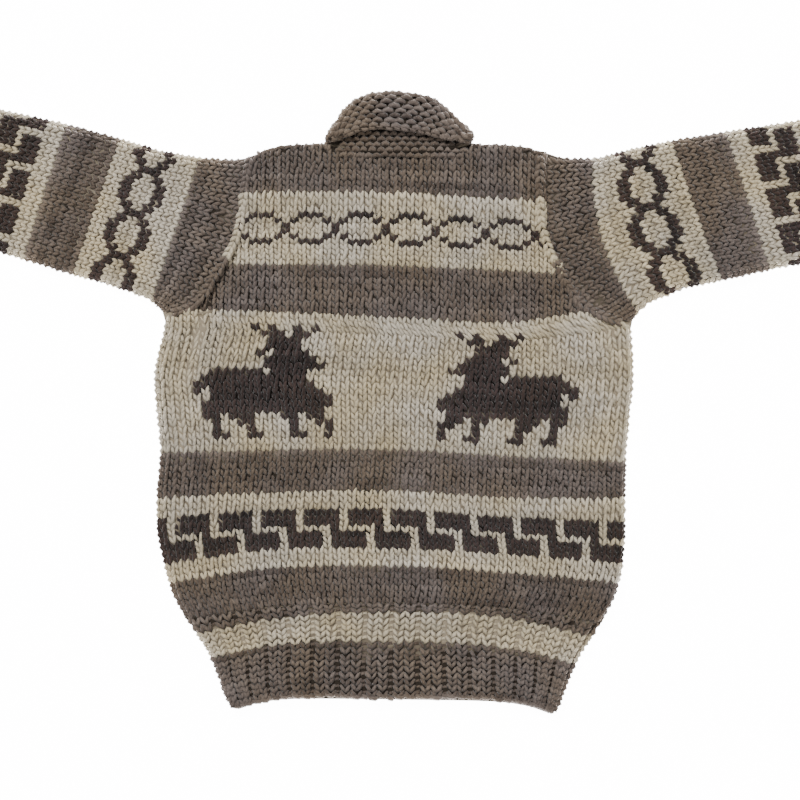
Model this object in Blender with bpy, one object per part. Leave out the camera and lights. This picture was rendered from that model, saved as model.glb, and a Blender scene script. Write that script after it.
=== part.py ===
"""Cowichan sweater of bulky wool, laid flat on its front with the arms spread out.

The back faces up.  x runs across the shoulders, y from the hem to the collar and
z up from the surface it lies on.  Sizes below are in millimetres, measured from the
middle of the hem; the finished pieces are moved so that the origin is the middle of
the whole garment, on the surface.
"""
import math
from collections import namedtuple

import bpy
from mathutils import Vector

MM = 0.001                # metres in a millimetre

# ---- driving dimensions, in millimetres --------------------------------------------
WALL = 6.0                # one layer of bulky knitting
COLLAR_WALL = 7.0         # one layer of garter stitch, which is thicker
SEAM = 0.3                # clearance between two pieces that are sewn together
SLIT = 0.6                # clearance between the two layers inside a sleeve or a fold
EDGE_ROUND = 2.0          # how far an edge rounds over towards each face
TUBE_ROUND = 6.0          # how far a sleeve's folded edge rounds over

BODY_COLUMNS = 16         # cells across the body
LAPEL_COLUMNS = 3         # cells across one front half of the collar

SHOULDER_TIPS = (-150.0, 149.0)
NECK_MIDDLE_X = 5.5       # the neck sits a little to one side of the hem's middle
NECK_HALF_WIDTH = 71.5    # from the middle of the neck to a shoulder seam's inner end
NECK_POINT_Y = 557.0      # height of the inner ends of the shoulder seams
V_BOTTOM_Y = 386.0        # foot of the front's V neck
SEAM_SKEW = 1.4           # extra share of the seam's clearance where a seam runs aslant
SLEEVE_CROWN = 2.0        # how much a sleeve's upper layer springs up in its middle
BACK_SPRING = 1.6         # how much the back springs off the front in its middle
STEP_BRIDGE = 3.0         # how far the back bridges the step at the rim of the collar

BodyRow = namedtuple("BodyRow", "left_x left_y right_x right_y bow sharpness")
EdgePoint = namedtuple("EdgePoint", "x y")
SleeveRow = namedtuple("SleeveRow", "top_x top_y under_x under_y")
LapelRow = namedtuple("LapelRow", "y inner outer")
CollarRow = namedtuple("CollarRow", "seam_x fold_x fold_y edge_x edge_y")
Fold = namedtuple("Fold", "from_x from_y to_x to_y width height")

# Courses of the body from the top of the ribbing up to the underarms.  bow is how much
# higher the middle of the course lies than a straight line between its ends.
BODY_ROWS = (
    BodyRow(-211, 82, 206, 78, 17, 2.0),
    BodyRow(-224, 104, 219, 100, 16, 2.0),
    BodyRow(-232, 132, 227, 128, 15, 2.0),
    BodyRow(-240, 168, 230, 166, 12, 2.0),
    BodyRow(-240, 208, 230, 206, 9, 2.0),
    BodyRow(-236, 250, 231, 246, 7, 2.0),
    BodyRow(-240, 292, 235, 288, 5, 2.0),
    BodyRow(-243, 322, 238, 316, 3, 2.0),
    BodyRow(-238, 350, 238, 342, 2, 2.0),
    BodyRow(-232, 372, 236, 362, 1, 2.0),
)
# The armholes, from the underarm corners up to the last course below the shoulders.
ARMHOLE_ROWS = (
    BodyRow(-233, 387, 236, 378, 0, 2.0),
    BodyRow(-213, 393, 221, 381, 0, 2.0),
    BodyRow(-198, 403, 204, 389, 0, 2.0),
    BodyRow(-187, 423, 187, 399, 0, 2.0),
    BodyRow(-175, 443, 173, 420, 0, 2.0),
    BodyRow(-163, 466, 158, 450, 0, 2.0),
    BodyRow(-159, 490, 150, 474, 0, 2.0),
    BodyRow(-156, 515, 148, 510, 0, 2.0),
)
# Upper edge of the back: shoulder seam, back neck, shoulder seam.
TOP_EDGE = (
    EdgePoint(-150, 542), EdgePoint(-126, 554), EdgePoint(-70, 557), EdgePoint(-50, 549),
    EdgePoint(-25, 546), EdgePoint(25, 545.5), EdgePoint(52, 548), EdgePoint(76, 556),
    EdgePoint(124, 555), EdgePoint(149, 548),
)
# Courses of the ribbed hem, from its lower edge up to the seam with the body.
HEM_ROWS = (
    BodyRow(-158, -11, 153, -15, 12, 6.0),
    BodyRow(-168, -4, 163, -8, 10, 5.0),
    BodyRow(-175, 12, 169, 8, 12, 3.0),
    BodyRow(-180, 28, 175, 24, 14, 2.5),
    BodyRow(-187, 46, 183, 42, 16, 2.0),
    BodyRow(-200, 66, 196, 62, 17, 2.0),
    BodyRow(-211, 82, 206, 78, 17, 2.0),
)
# Straight sections across each sleeve, from the cap out to the cuff's seam.
LEFT_SLEEVE = (
    SleeveRow(-174, 542, -239.5, 393),
    SleeveRow(-198, 544, -246, 400),
    SleeveRow(-237, 551, -285, 414),
    SleeveRow(-277, 563, -325, 425),
    SleeveRow(-332, 578, -376, 441),
    SleeveRow(-396, 592, -437, 459),
    SleeveRow(-462, 608, -502, 480),
    SleeveRow(-528, 625, -567, 500),
    SleeveRow(-576, 637, -612, 515),
    SleeveRow(-592, 638, -627, 523),
)
LEFT_CUFF = (
    SleeveRow(-592, 638, -627, 523),
    SleeveRow(-607, 639, -641, 533),
    SleeveRow(-632, 642, -664, 544),
    SleeveRow(-660, 646, -690, 554),
)
RIGHT_SLEEVE = (
    SleeveRow(174, 543, 242.5, 385),
    SleeveRow(200, 543, 250, 395),
    SleeveRow(238, 553, 288, 411),
    SleeveRow(277, 561, 332, 420),
    SleeveRow(331, 570, 380, 431),
    SleeveRow(403, 581, 449, 444),
    SleeveRow(470, 591, 514, 459),
    SleeveRow(538, 602, 580, 473),
    SleeveRow(587, 610, 627, 484),
    SleeveRow(603, 610, 641, 490),
)
RIGHT_CUFF = (
    SleeveRow(603, 610, 641, 490),
    SleeveRow(618, 609, 656, 498),
    SleeveRow(644, 608, 679, 507),
    SleeveRow(672, 609, 705, 516),
)
# One front half of the collar: how far its two edges lie from the middle of the V.
LAPEL_ROWS = (
    LapelRow(378, 0.6, 12),
    LapelRow(400, 1.0, 34),
    LapelRow(425, 6, 54),
    LapelRow(450, 15, 67),
    LapelRow(480, 28, 79),
    LapelRow(510, 41, 89),
    LapelRow(535, 52, 95),
    LapelRow(553, 60, 96),
)
# The back of the collar: where each strip of it starts at the neck seam, where it folds
# over, and where the turned-down part ends.
COLLAR_ROWS = (
    CollarRow(-64, -69, 562, -66, 556.5),
    CollarRow(-52, -61, 574, -54, 560.5),
    CollarRow(-40, -52, 589, -43, 563),
    CollarRow(-27, -41, 600, -31, 567),
    CollarRow(-13, -24, 606, -16, 567.5),
    CollarRow(2, -3, 608, 0, 566.5),
    CollarRow(17, 19, 606, 15, 565),
    CollarRow(32, 39, 600, 29, 562),
    CollarRow(46, 52, 588, 42, 559.5),
    CollarRow(60, 66, 575, 57, 557),
    CollarRow(74, 78, 562, 72, 556),
)
COLLAR_DROOP = 9.5        # how far the middle of the collar's fold sags towards the surface
FOLD_TURN = 0.4           # where the fold begins to turn, in shares of the layer's thickness
FOLD_SHOULDER = 0.22      # height of the fold's shoulders, in shares of its whole thickness
FOLD_EASE = 0.6           # how much thinner the fold is where it begins to turn
EDGE_LIP = 0.05           # roundness of the turned-down edge, in shares of its depth
# Soft raised folds of the back, beside the underarms and along the sides.
BACK_FOLDS = (
    Fold(-222, 365, -226, 190, 16, 2.4),
    Fold(-150, 445, -172, 330, 15, 2.2),
    Fold(205, 360, 214, 220, 15, 2.2),
    Fold(150, 430, 176, 350, 14, 1.6),
)

# ---- the wool -----------------------------------------------------------------------
CREAM = (0.46, 0.42, 0.34)
GREY_BROWN = (0.105, 0.082, 0.070)
COLLAR_GREY = (0.085, 0.068, 0.060)
WOOL_ROUGHNESS = 0.95
SMOOTH_UP_TO = math.radians(50)

# ---- where the knitting lies --------------------------------------------------------
# Over the front halves of the collar the whole garment is lifted by their thickness.
LIFT_X_START = 101.0
LIFT_X_END = 148.0
LIFT_Y_START = 325.0
LIFT_Y_END = 366.0


def smooth(low, high, value):
    """0 below low, 1 above high and an even S between them."""
    share = min(max((value - low) / (high - low), 0.0), 1.0)
    return share * share * (3.0 - 2.0 * share)


def lift(x, y):
    """Height that the collar's front halves, which lie under the front, give it."""
    across = 1.0 - smooth(LIFT_X_START, LIFT_X_END, abs(x - NECK_MIDDLE_X))
    return (COLLAR_WALL + SEAM) * across * smooth(LIFT_Y_START, LIFT_Y_END, y)


def fold_height(fold, x, y):
    """Height of one soft fold at a point: highest on its line, gone a width or two away."""
    start = Vector((fold.from_x, fold.from_y))
    run = Vector((fold.to_x, fold.to_y)) - start
    point = Vector((x, y)) - start
    share = min(max(point.dot(run) / run.length_squared, 0.0), 1.0)
    distance = (point - run * share).length
    return fold.height * math.exp(-(distance / fold.width) ** 2)


def spring(x, y):
    """How far the back stands off the front: a little in the middle, more on its folds
    and where it bridges the step over the rim of the collar.
    """
    middle = 1.0 - smooth(60.0, 150.0, abs(x))
    step = lift(x, y) / (COLLAR_WALL + SEAM)
    folds = sum(fold_height(fold, x, y) for fold in BACK_FOLDS)
    return BACK_SPRING * middle + STEP_BRIDGE * 4.0 * step * (1.0 - step) + folds


def front_under(x, y):
    return lift(x, y)


def front_over(x, y):
    return lift(x, y) + WALL


def back_under(x, y):
    return front_over(x, y) + SEAM + spring(x, y)


def back_over(x, y):
    return back_under(x, y) + WALL


def lapel_under(x, y):
    return 0.0


def lapel_over(x, y):
    return COLLAR_WALL


# ---- turning outlines into closed pieces --------------------------------------------
def finish_object(name, points, faces, colour):
    """Make one closed object from points in millimetres, with its own material."""
    mesh = bpy.data.meshes.new(name)
    mesh.from_pydata([Vector(point) * MM for point in points], [], faces)
    mesh.validate()
    mesh.update()
    mesh.shade_smooth()
    mesh.set_sharp_from_angle(angle=SMOOTH_UP_TO)
    material = bpy.data.materials.new(name + "_wool")
    material.use_nodes = True
    shader = material.node_tree.nodes["Principled BSDF"]
    shader.inputs["Base Color"].default_value = (*colour, 1.0)
    shader.inputs["Roughness"].default_value = WOOL_ROUGHNESS
    shader.inputs["Metallic"].default_value = 0.0
    mesh.materials.append(material)
    piece = bpy.data.objects.new(name, mesh)
    bpy.context.scene.collection.objects.link(piece)
    return piece


def add_grid(sheet, rows):
    """Add rows of points to a flat sheet as pairs of triangles; shared points are joined."""
    points, cells, places = sheet
    numbered = []
    for row in rows:
        numbers = []
        for x, y in row:
            key = (round(x, 3), round(y, 3))
            if key not in places:
                places[key] = len(points)
                points.append(Vector((x, y)))
            numbers.append(places[key])
        numbered.append(numbers)
    for lower, upper in zip(numbered, numbered[1:]):
        for column in range(len(lower) - 1):
            corners = [lower[column], lower[column + 1], upper[column + 1], upper[column]]
            for cell in (corners[:3], [corners[0], corners[2], corners[3]]):
                if len(set(cell)) == 3:
                    cells.append(cell)


def open_edges(cells):
    """Edges that only one cell has, each in that cell's own direction."""
    count = {}
    for cell in cells:
        for place, start in enumerate(cell):
            end = cell[(place + 1) % len(cell)]
            key = (min(start, end), max(start, end))
            count.setdefault(key, []).append((start, end))
    return [uses[0] for uses in count.values() if len(uses) == 1]


def knitted_wall(name, sheet, under, over, colour):
    """Thicken a flat sheet into one closed wall with rounded edges."""
    points, cells, _ = sheet
    rim = open_edges(cells)
    inward = {}
    for start, end in rim:
        run = (points[end] - points[start]).normalized()
        side = Vector((-run.y, run.x))
        for number in (start, end):
            inward[number] = inward.get(number, Vector((0.0, 0.0))) + side
    upper = []
    lower = []
    for number, point in enumerate(points):
        pulled = point.copy()
        if number in inward:
            pulled += inward[number].normalized() * EDGE_ROUND
        upper.append((*pulled, over(*point)))
        lower.append((*pulled, under(*point)))
    count = len(points)
    middle = {number: 2 * count + place for place, number in enumerate(inward)}
    edge = [(*points[number], (over(*points[number]) + under(*points[number])) / 2)
            for number in inward]
    faces = [list(cell) for cell in cells]
    faces += [[count + number for number in reversed(cell)] for cell in cells]
    for start, end in rim:
        faces.append([end, start, middle[start], middle[end]])
        faces.append([middle[end], middle[start], count + start, count + end])
    return finish_object(name, upper + lower + edge, faces, colour)


def new_sheet():
    return [], [], {}


def course(row, columns=BODY_COLUMNS):
    """Points of one course across the body, bowed up in its middle."""
    points = []
    for column in range(columns + 1):
        share = column / columns
        x = row.left_x + (row.right_x - row.left_x) * share
        straight = row.left_y + (row.right_y - row.left_y) * share
        points.append((x, straight + row.bow * (1.0 - abs(2.0 * share - 1.0) ** row.sharpness)))
    return points


def height_on(line, x):
    """Height of a line of points at x, straight from point to point."""
    for before, after in zip(line, line[1:]):
        if x <= after[0]:
            break
    share = (x - before[0]) / (after[0] - before[0])
    return before[1] + (after[1] - before[1]) * share


def back_top_row():
    """Points of the back's upper edge, one for each column."""
    first, last = TOP_EDGE[0].x, TOP_EDGE[-1].x
    row = []
    for column in range(BODY_COLUMNS + 1):
        x = first + (last - first) * column / BODY_COLUMNS
        row.append((x, height_on(TOP_EDGE, x)))
    return row


def lowered(row, distance):
    return [(x, y - distance) for x, y in row]


def v_edge(y, side):
    """Where the edge of the V neck is at a height; side is -1 for left, 1 for right."""
    share = max((y - V_BOTTOM_Y) / (NECK_POINT_Y - V_BOTTOM_Y), 0.0)
    return (NECK_MIDDLE_X + side * NECK_HALF_WIDTH) * share


def half_course(row, side):
    """Points of one course of the front from its outer end in to the V, or the reverse."""
    outer = (row.left_x, row.left_y) if side < 0 else (row.right_x, row.right_y)
    columns = BODY_COLUMNS // 2
    whole = course(row)
    middle_y = whole[columns][1]
    inner = (v_edge(middle_y, side), middle_y)
    points = []
    for column in range(columns + 1):
        share = column / columns
        if middle_y <= V_BOTTOM_Y:
            points.append(whole[column] if side < 0 else whole[columns + column])
            continue
        start, end = (outer, inner) if side < 0 else (inner, outer)
        points.append((start[0] + (end[0] - start[0]) * share,
                       start[1] + (end[1] - start[1]) * share))
    return points


def half_top_row(side):
    """Shoulder edge of the front, from the tip in to the neck point or the reverse."""
    neck_x = NECK_MIDDLE_X + side * NECK_HALF_WIDTH
    tip_x = SHOULDER_TIPS[0] if side < 0 else SHOULDER_TIPS[1]
    columns = BODY_COLUMNS // 2
    start, end = (tip_x, neck_x) if side < 0 else (neck_x, tip_x)
    row = []
    for column in range(columns + 1):
        x = start + (end - start) * column / columns
        y = NECK_POINT_Y if x == neck_x else height_on(TOP_EDGE, x)
        row.append((x, y))
    return row


# ---- the body -----------------------------------------------------------------------

def make_back():
    sheet = new_sheet()
    rows = [course(row) for row in BODY_ROWS + ARMHOLE_ROWS]
    add_grid(sheet, rows + [back_top_row()])
    return knitted_wall("back", sheet, back_under, back_over, CREAM)


def make_front():
    sheet = new_sheet()
    for side in (-1, 1):
        rows = [half_course(row, side) for row in BODY_ROWS + ARMHOLE_ROWS]
        add_grid(sheet, rows + [half_top_row(side)])
    return knitted_wall("front", sheet, front_under, front_over, CREAM)


def make_hem(name, under, over):
    sheet = new_sheet()
    rows = [course(row) for row in HEM_ROWS[:-1]]
    rows.append(lowered(course(HEM_ROWS[-1]), SEAM))
    add_grid(sheet, rows)
    return knitted_wall(name, sheet, under, over, GREY_BROWN)


# ---- the sleeves --------------------------------------------------------------------
def armhole_line(side):
    """The armhole from the shoulder tip down to the underarm, a seam's width outside it."""
    if side < 0:
        line = [Vector((row.left_x, row.left_y)) for row in reversed(ARMHOLE_ROWS)]
        line.insert(0, Vector((TOP_EDGE[0].x, TOP_EDGE[0].y)))
    else:
        line = [Vector((row.right_x, row.right_y)) for row in reversed(ARMHOLE_ROWS)]
        line.insert(0, Vector((TOP_EDGE[-1].x, TOP_EDGE[-1].y)))
    moved = []
    for place, point in enumerate(line):
        ahead = line[min(place + 1, len(line) - 1)]
        behind = line[max(place - 1, 0)]
        run = (ahead - behind).normalized()
        outward = Vector((run.y, -run.x)) * -side
        moved.append(point + outward * SEAM * SEAM_SKEW)
    return moved


def shares_of(line):
    """How far along a line each of its points is, from 0 to 1."""
    lengths = [0.0]
    for start, end in zip(line, line[1:]):
        lengths.append(lengths[-1] + (end - start).length)
    return [length / lengths[-1] for length in lengths]


def line_length(line):
    return sum((end - start).length for start, end in zip(line, line[1:]))


def point_along(line, distance):
    """The point a distance along a line of points."""
    for start, end in zip(line, line[1:]):
        step = (end - start).length
        if distance <= step:
            return start + (end - start) * (distance / step)
        distance -= step
    return line[-1].copy()


def flat_ring(line, shares, crown):
    """Two closed rings, outside and inside, of a flattened tube that crosses a line."""
    length = line_length(line)
    top = 2.0 * WALL + SLIT
    middle = top / 2.0
    near = [0.0, TUBE_ROUND / 3.0, TUBE_ROUND]
    inner_near = [WALL, WALL + 1.5, WALL + 4.0]
    across = [share * length for share in shares[1:-1]]
    outer_places = near + across + [length - place for place in reversed(near)]
    inner_places = inner_near + across + [length - place for place in reversed(inner_near)]
    last = len(outer_places) - 1
    outer = []
    inner = []
    for place in range(last + 1):
        for ring, places, reach in ((outer, outer_places, middle), (inner, inner_places, SLIT / 2)):
            x, y = point_along(line, places[place])
            from_edge = min(places[place], length - places[place])
            if ring is outer:
                bend = min(from_edge / TUBE_ROUND, 1.0)
                rise = reach * math.sqrt(1.0 - (1.0 - bend) ** 2)
            else:
                rise = 0.0 if place in (0, last) else reach
            swell = crown * math.sin(math.pi * from_edge / length) if rise else 0.0
            ring.append(((x, y), middle + rise + swell, middle - rise))
    return outer, inner


def closed_ring(ring):
    """Points once round: over the top from the upper edge and back along the underside."""
    top = [(*place, high) for place, high, _ in ring]
    bottom = [(*place, low) for place, _, low in ring[1:-1]]
    return top + list(reversed(bottom))


def make_tube(name, sections, shares, crowns, side, colour):
    """Loft a flattened, open tube through sections that each cross a line of points."""
    points = []
    starts = []
    for line, crown in zip(sections, crowns):
        outer, inner = flat_ring(line, shares, crown)
        starts.append((len(points), len(points) + len(closed_ring(outer))))
        points += closed_ring(outer) + closed_ring(inner)
    count = starts[0][1] - starts[0][0]
    faces = []
    for (outer_a, inner_a), (outer_b, inner_b) in zip(starts, starts[1:]):
        for place in range(count):
            after = (place + 1) % count
            faces.append([outer_a + place, outer_b + place, outer_b + after, outer_a + after])
            faces.append([inner_a + place, inner_a + after, inner_b + after, inner_b + place])
    for (outer, inner), outward in ((starts[0], False), (starts[-1], True)):
        for place in range(count):
            after = (place + 1) % count
            face = [outer + place, outer + after, inner + after, inner + place]
            faces.append(list(reversed(face)) if outward else face)
    if side > 0:
        faces = [list(reversed(face)) for face in faces]
    return finish_object(name, points, faces, colour)


def section_line(row, distance=0.0, side=0):
    """A straight section across a sleeve, moved a distance out along the arm."""
    top = Vector((row.top_x + side * distance, row.top_y))
    under = Vector((row.under_x + side * distance, row.under_y))
    return [top, under]


def make_sleeve(name, side, rows):
    armhole = armhole_line(side)
    shares = shares_of(armhole)
    sections = [armhole] + [section_line(row) for row in rows]
    crowns = [0.0] + [SLEEVE_CROWN] * (len(rows) - 1) + [SLEEVE_CROWN / 2]
    return make_tube(name, sections, shares, crowns, side, CREAM)


def make_cuff(name, side, rows):
    shares = shares_of(armhole_line(side))
    sections = [section_line(rows[0], SEAM * SEAM_SKEW, side)] + [section_line(row) for row in rows[1:]]
    crowns = [SLEEVE_CROWN / 2] * len(rows)
    return make_tube(name, sections, shares, crowns, side, GREY_BROWN)


# ---- the collar ---------------------------------------------------------------------
def make_lapel(name, side):
    """One front half of the collar, flat on the surface under the front."""
    sheet = new_sheet()
    rows = []
    for lapel in LAPEL_ROWS:
        rise = max(lapel.y - V_BOTTOM_Y, 0.0) / (NECK_POINT_Y - V_BOTTOM_Y)
        middle = NECK_MIDDLE_X * rise
        ends = (middle + side * lapel.inner, middle + side * lapel.outer)
        start, end = min(ends), max(ends)
        rows.append([(start + (end - start) * column / LAPEL_COLUMNS, lapel.y)
                     for column in range(LAPEL_COLUMNS + 1)])
    add_grid(sheet, rows)
    return knitted_wall(name, sheet, lapel_under, lapel_over, COLLAR_GREY)


def collar_profile(row, share):
    """Closed outline of one strip of the folded collar, from the neck seam and back."""
    seam = Vector((row.seam_x, height_on(back_top_row(), row.seam_x) + SEAM))
    fold = Vector((row.fold_x, row.fold_y))
    edge = Vector((row.edge_x, row.edge_y))
    stand = (fold - seam).length
    fall = (fold - edge).length
    base = back_under(0.0, NECK_POINT_Y)
    low = base - COLLAR_DROOP * (1.0 - abs(2.0 * share - 1.0) ** 2.5)
    thick = 2.0 * COLLAR_WALL + SLIT
    depth = min(COLLAR_WALL, 0.5 * min(stand, fall))
    inside = fold + ((seam + edge) / 2 - fold).normalized() * depth
    turn = seam.lerp(fold, 1.0 - FOLD_TURN * depth / stand)
    shoulder = fold.lerp(turn, 0.25)
    halfway = seam.lerp(fold, 0.5)
    half_low = (base + low) / 2
    edge_low = low + (base - low) * min(fall / stand, 1.0)
    fall_low = (edge_low + low) / 2
    return [
        (*seam, base),
        (*halfway, half_low),
        (*turn, low + FOLD_EASE),
        (*shoulder, low + thick * FOLD_SHOULDER),
        (*fold, low + thick / 2),
        (*shoulder, low + thick * (1.0 - FOLD_SHOULDER)),
        (*turn, low + thick - FOLD_EASE),
        (*edge.lerp(fold, 0.5), fall_low + thick),
        (*edge.lerp(fold, EDGE_LIP), edge_low + thick),
        (*edge, edge_low + thick - COLLAR_WALL / 2),
        (*edge.lerp(fold, EDGE_LIP), edge_low + COLLAR_WALL + SLIT),
        (*inside, low + COLLAR_WALL + SLIT),
        (*inside, low + COLLAR_WALL),
        (*halfway, half_low + COLLAR_WALL),
        (*seam, base + COLLAR_WALL),
    ]


def make_collar_back():
    """The back of the collar, folded over along its upper edge."""
    last = len(COLLAR_ROWS) - 1
    profiles = [collar_profile(row, place / last) for place, row in enumerate(COLLAR_ROWS)]
    count = len(profiles[0])
    points = [point for profile in profiles for point in profile]
    faces = []
    for strip in range(last):
        here, there = strip * count, (strip + 1) * count
        for place in range(count):
            after = (place + 1) % count
            faces.append([here + place, here + after, there + after, there + place])
    faces.append(list(reversed(range(count))))
    faces.append([last * count + place for place in range(count)])
    return finish_object("collar_back", points, faces, COLLAR_GREY)


# ---- the whole garment --------------------------------------------------------------
def move_to_origin(pieces):
    """Put the middle of the garment's outline over the origin, resting on z = 0."""
    corners = [vertex.co for piece in pieces for vertex in piece.data.vertices]
    low = Vector([min(corner[axis] for corner in corners) for axis in range(3)])
    high = Vector([max(corner[axis] for corner in corners) for axis in range(3)])
    shift = Vector((-(low.x + high.x) / 2, -(low.y + high.y) / 2, -low.z))
    for piece in pieces:
        for vertex in piece.data.vertices:
            vertex.co += shift
        piece.data.update()


def main():
    for old in list(bpy.data.objects):
        bpy.data.objects.remove(old, do_unlink=True)
    pieces = [
        make_front(),
        make_hem("hem_rib_front", front_under, front_over),
        make_back(),
        make_hem("hem_rib_back", back_under, back_over),
        make_sleeve("sleeve_left", -1, LEFT_SLEEVE),
        make_cuff("cuff_left", -1, LEFT_CUFF),
        make_sleeve("sleeve_right", 1, RIGHT_SLEEVE),
        make_cuff("cuff_right", 1, RIGHT_CUFF),
        make_lapel("collar_left", -1),
        make_lapel("collar_right", 1),
        make_collar_back(),
    ]
    move_to_origin(pieces)


main()
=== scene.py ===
"""Cowichan sweater of thick handspun wool, laid flat on its front and knitted stitch by stitch.

Every panel is a thin shell of wool on the form of its plain solid, coloured with painted
shade where it shows between the stitches, and covered with closed strands: two legs for
each knit stitch, a bump for each purl stitch.  A panel's cloth is a
lattice of points, whole rows by half stitches, and the strands are placed on it by
stitch, row and distance off the cloth.  Sizes in the tables are in millimetres.
"""

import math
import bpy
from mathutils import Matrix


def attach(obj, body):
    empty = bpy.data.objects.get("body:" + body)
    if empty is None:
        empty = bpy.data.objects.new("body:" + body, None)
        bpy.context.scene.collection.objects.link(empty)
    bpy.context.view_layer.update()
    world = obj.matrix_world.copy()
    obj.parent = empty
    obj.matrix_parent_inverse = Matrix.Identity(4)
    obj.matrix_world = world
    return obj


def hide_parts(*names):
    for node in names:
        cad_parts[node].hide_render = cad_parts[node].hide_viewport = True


bl_info = {
    "name": "Cowichan Sweater",
    "version": (1, 0, 0),
    "blender": (4, 5, 0),
    "location": "View3D > Sidebar > Sweater",
    "description": "Knits a thick wool sweater, laid flat, over its plain solids",
    "category": "Add Mesh",
}

from collections import namedtuple
from functools import lru_cache

import bmesh
import bpy
import numpy as np
from bpy.props import FloatProperty, FloatVectorProperty, PointerProperty
from mathutils import Vector
from mathutils.bvhtree import BVHTree
from mathutils.kdtree import KDTree

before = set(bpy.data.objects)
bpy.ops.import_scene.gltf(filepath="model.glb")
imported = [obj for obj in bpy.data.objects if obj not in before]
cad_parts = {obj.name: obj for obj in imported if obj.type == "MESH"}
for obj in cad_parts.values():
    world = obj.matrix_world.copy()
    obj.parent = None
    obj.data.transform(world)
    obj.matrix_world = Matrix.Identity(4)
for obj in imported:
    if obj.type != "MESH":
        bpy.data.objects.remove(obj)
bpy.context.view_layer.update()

MM = 0.001
SEED = 1871

# ---- the knitting plan --------------------------------------------------------------
BODY_STITCHES = 54        # across the back, from side to side
RIB_STITCHES = 48         # sixteen ribs of two knit stitches and one purl
SLEEVE_FACE = 18          # stitches across the upper face of a sleeve
CUFF_FACE = 16            # stitches across the upper face of a cuff
FOLD_STITCHES = 2         # stitches round each folded edge of a sleeve or cuff
COLLAR_STITCHES = 15      # bumps along the turned-down part of the collar
COLLAR_ROWS = 10          # rows of it, from its lower edge over the fold
STAND_STITCHES = 15       # bumps along what shows of the collar's stand
STAND_ROWS = 5
LAPEL_STITCHES = 9        # bumps across each front half of the collar
LAPEL_ROWS = 30
CUFF_ROWS = 12

Band = namedtuple("Band", "kind rows")
BODY_BANDS = (
    Band("grey", 6), Band("cream", 3), Band("meander", 7), Band("cream", 3),
    Band("grey", 7), Band("deer", 22), Band("grey", 8), Band("cream", 4),
    Band("chain", 6), Band("cream", 3), Band("grey", 8),
)
HEM_BANDS = (Band("grey", 9), Band("cream", 5), Band("grey", 2))
SLEEVE_BANDS = (
    Band("grey", 8), Band("cream", 4), Band("wide chain", 8), Band("cream", 3), Band("grey", 8),
    Band("cream", 3), Band("meander", 7), Band("cream", 3), Band("grey", 8),
    Band("cream", 4), Band("chain", 6), Band("cream", 3), Band("grey", 8),
)
CUFF_BANDS = (Band("grey", 2), Band("cream", 4), Band("grey", 6))

# Charts are read from their top row down; # is a dark stitch and . is a cream one.
CHAIN_CHART = (
    "###...",
    "...#.#",
    "....#.",
    "....#.",
    "...#.#",
    "###...",
)
WIDE_CHAIN_CHART = (
    "..###.",
    ".#####",
    "##...#",
    "#.....",
    "#.....",
    "##...#",
    ".#####",
    "..###.",
)
MEANDER_CHART = (
    ".####",
    ".####",
    ".####",
    "....#",
    "###.#",
    "###.#",
    "###.#",
)
DEER_CHART = (
    "......#.#..#.#..",
    ".......###.##...",
    "........####....",
    "........####....",
    ".......#.####...",
    "........######..",
    "........#######.",
    "..######.####...",
    ".############...",
    "##############..",
    "#.#############.",
    "..##############",
    ".###############",
    ".##############.",
    ".##.###...##.##.",
    "..#..##....#..##",
    "..#...#....#...#",
    "..##..##...##..#",
)
# Stitch at which a repeat of each chart starts, and which way its stitches run.
Repeat = namedtuple("Repeat", "chain wide_chain meander way")
BODY_REPEAT = Repeat(4, 0, 1, 1)
LEFT_SLEEVE_REPEAT = Repeat(2, -2, 1, -1)
RIGHT_SLEEVE_REPEAT = Repeat(3, 1, 4, 1)
DEER_ROW = 28             # row of the body on which the deer stand
LEFT_DEER = 4             # first stitch of the left deer; the right one mirrors it
RIGHT_DEER = 32

# ---- where the rows lie -------------------------------------------------------------
# Height of a row at the left side, half way in, in the middle, half way out and at the
# right side, measured from the middle of the garment.
Course = namedtuple("Course", "row left half_left middle half_right right")
BODY_COURSES = (
    Course(0, -233.5, -221.5, -218.5, -222.5, -237.5),
    Course(6, -198.5, -183.5, -181.5, -188.5, -198.5),
    Course(9, -179.5, -164.5, -163.5, -169.5, -178.5),
    Course(16, -133.5, -125.5, -124.5, -132.5, -137.5),
    Course(19, -113.5, -107.5, -105.5, -112.5, -112.5),
    Course(26, -68.5, -65.5, -65.5, -71.5, -77.5),
    Course(48, 76.5, 72.5, 67.5, 62.5, 78.5),
    Course(56, 122.5, 119.5, 118.5, 113.5, 109.5),
    Course(60, 142.0, 140.5, 138.5, 134.5, 130.5),
    Course(66, 173.0, 171.5, 171.0, 165.0, 161.0),
    Course(69, 193.5, 192.5, 191.5, 185.5, 180.5),
    Course(77, 238.5, 239.5, 236.5, 237.5, 238.5),
)
HEM_COURSES = (
    Course(0, -324.0, -311.0, -312.0, -313.0, -328.0),
    Course(9, -272.5, -258.5, -256.5, -261.5, -279.5),
    Course(14, -248.5, -231.5, -226.5, -231.5, -251.5),
    Course(16, -233.5, -221.5, -218.5, -222.5, -237.5),
)
UNDERARM = 66.0 * MM      # height above which the sides give way to the armholes
ARMHOLE_TOP = 226.0 * MM  # height at which the edge of each armhole starts
ARMHOLE_FOOT = 1.0 * MM   # how far above a sleeve's lowest point that edge ends
ARMHOLE_OVERLAP = 3.0 * MM    # how far a sleeve's first row reaches over the body
ARMHOLE_PLACES = 200      # places at which the edge is read from the sleeve's outline
ARMHOLE_POINTS = 60       # evenly spaced points that pass it on to the sleeve's first rows
SIDE_INSET = 2.2 * MM     # from the garment's side to where its wall begins to turn down
WALL_DROPS = (2.6 * MM, 5.6 * MM)    # depths of the middle and foot of a side's wall column
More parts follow.
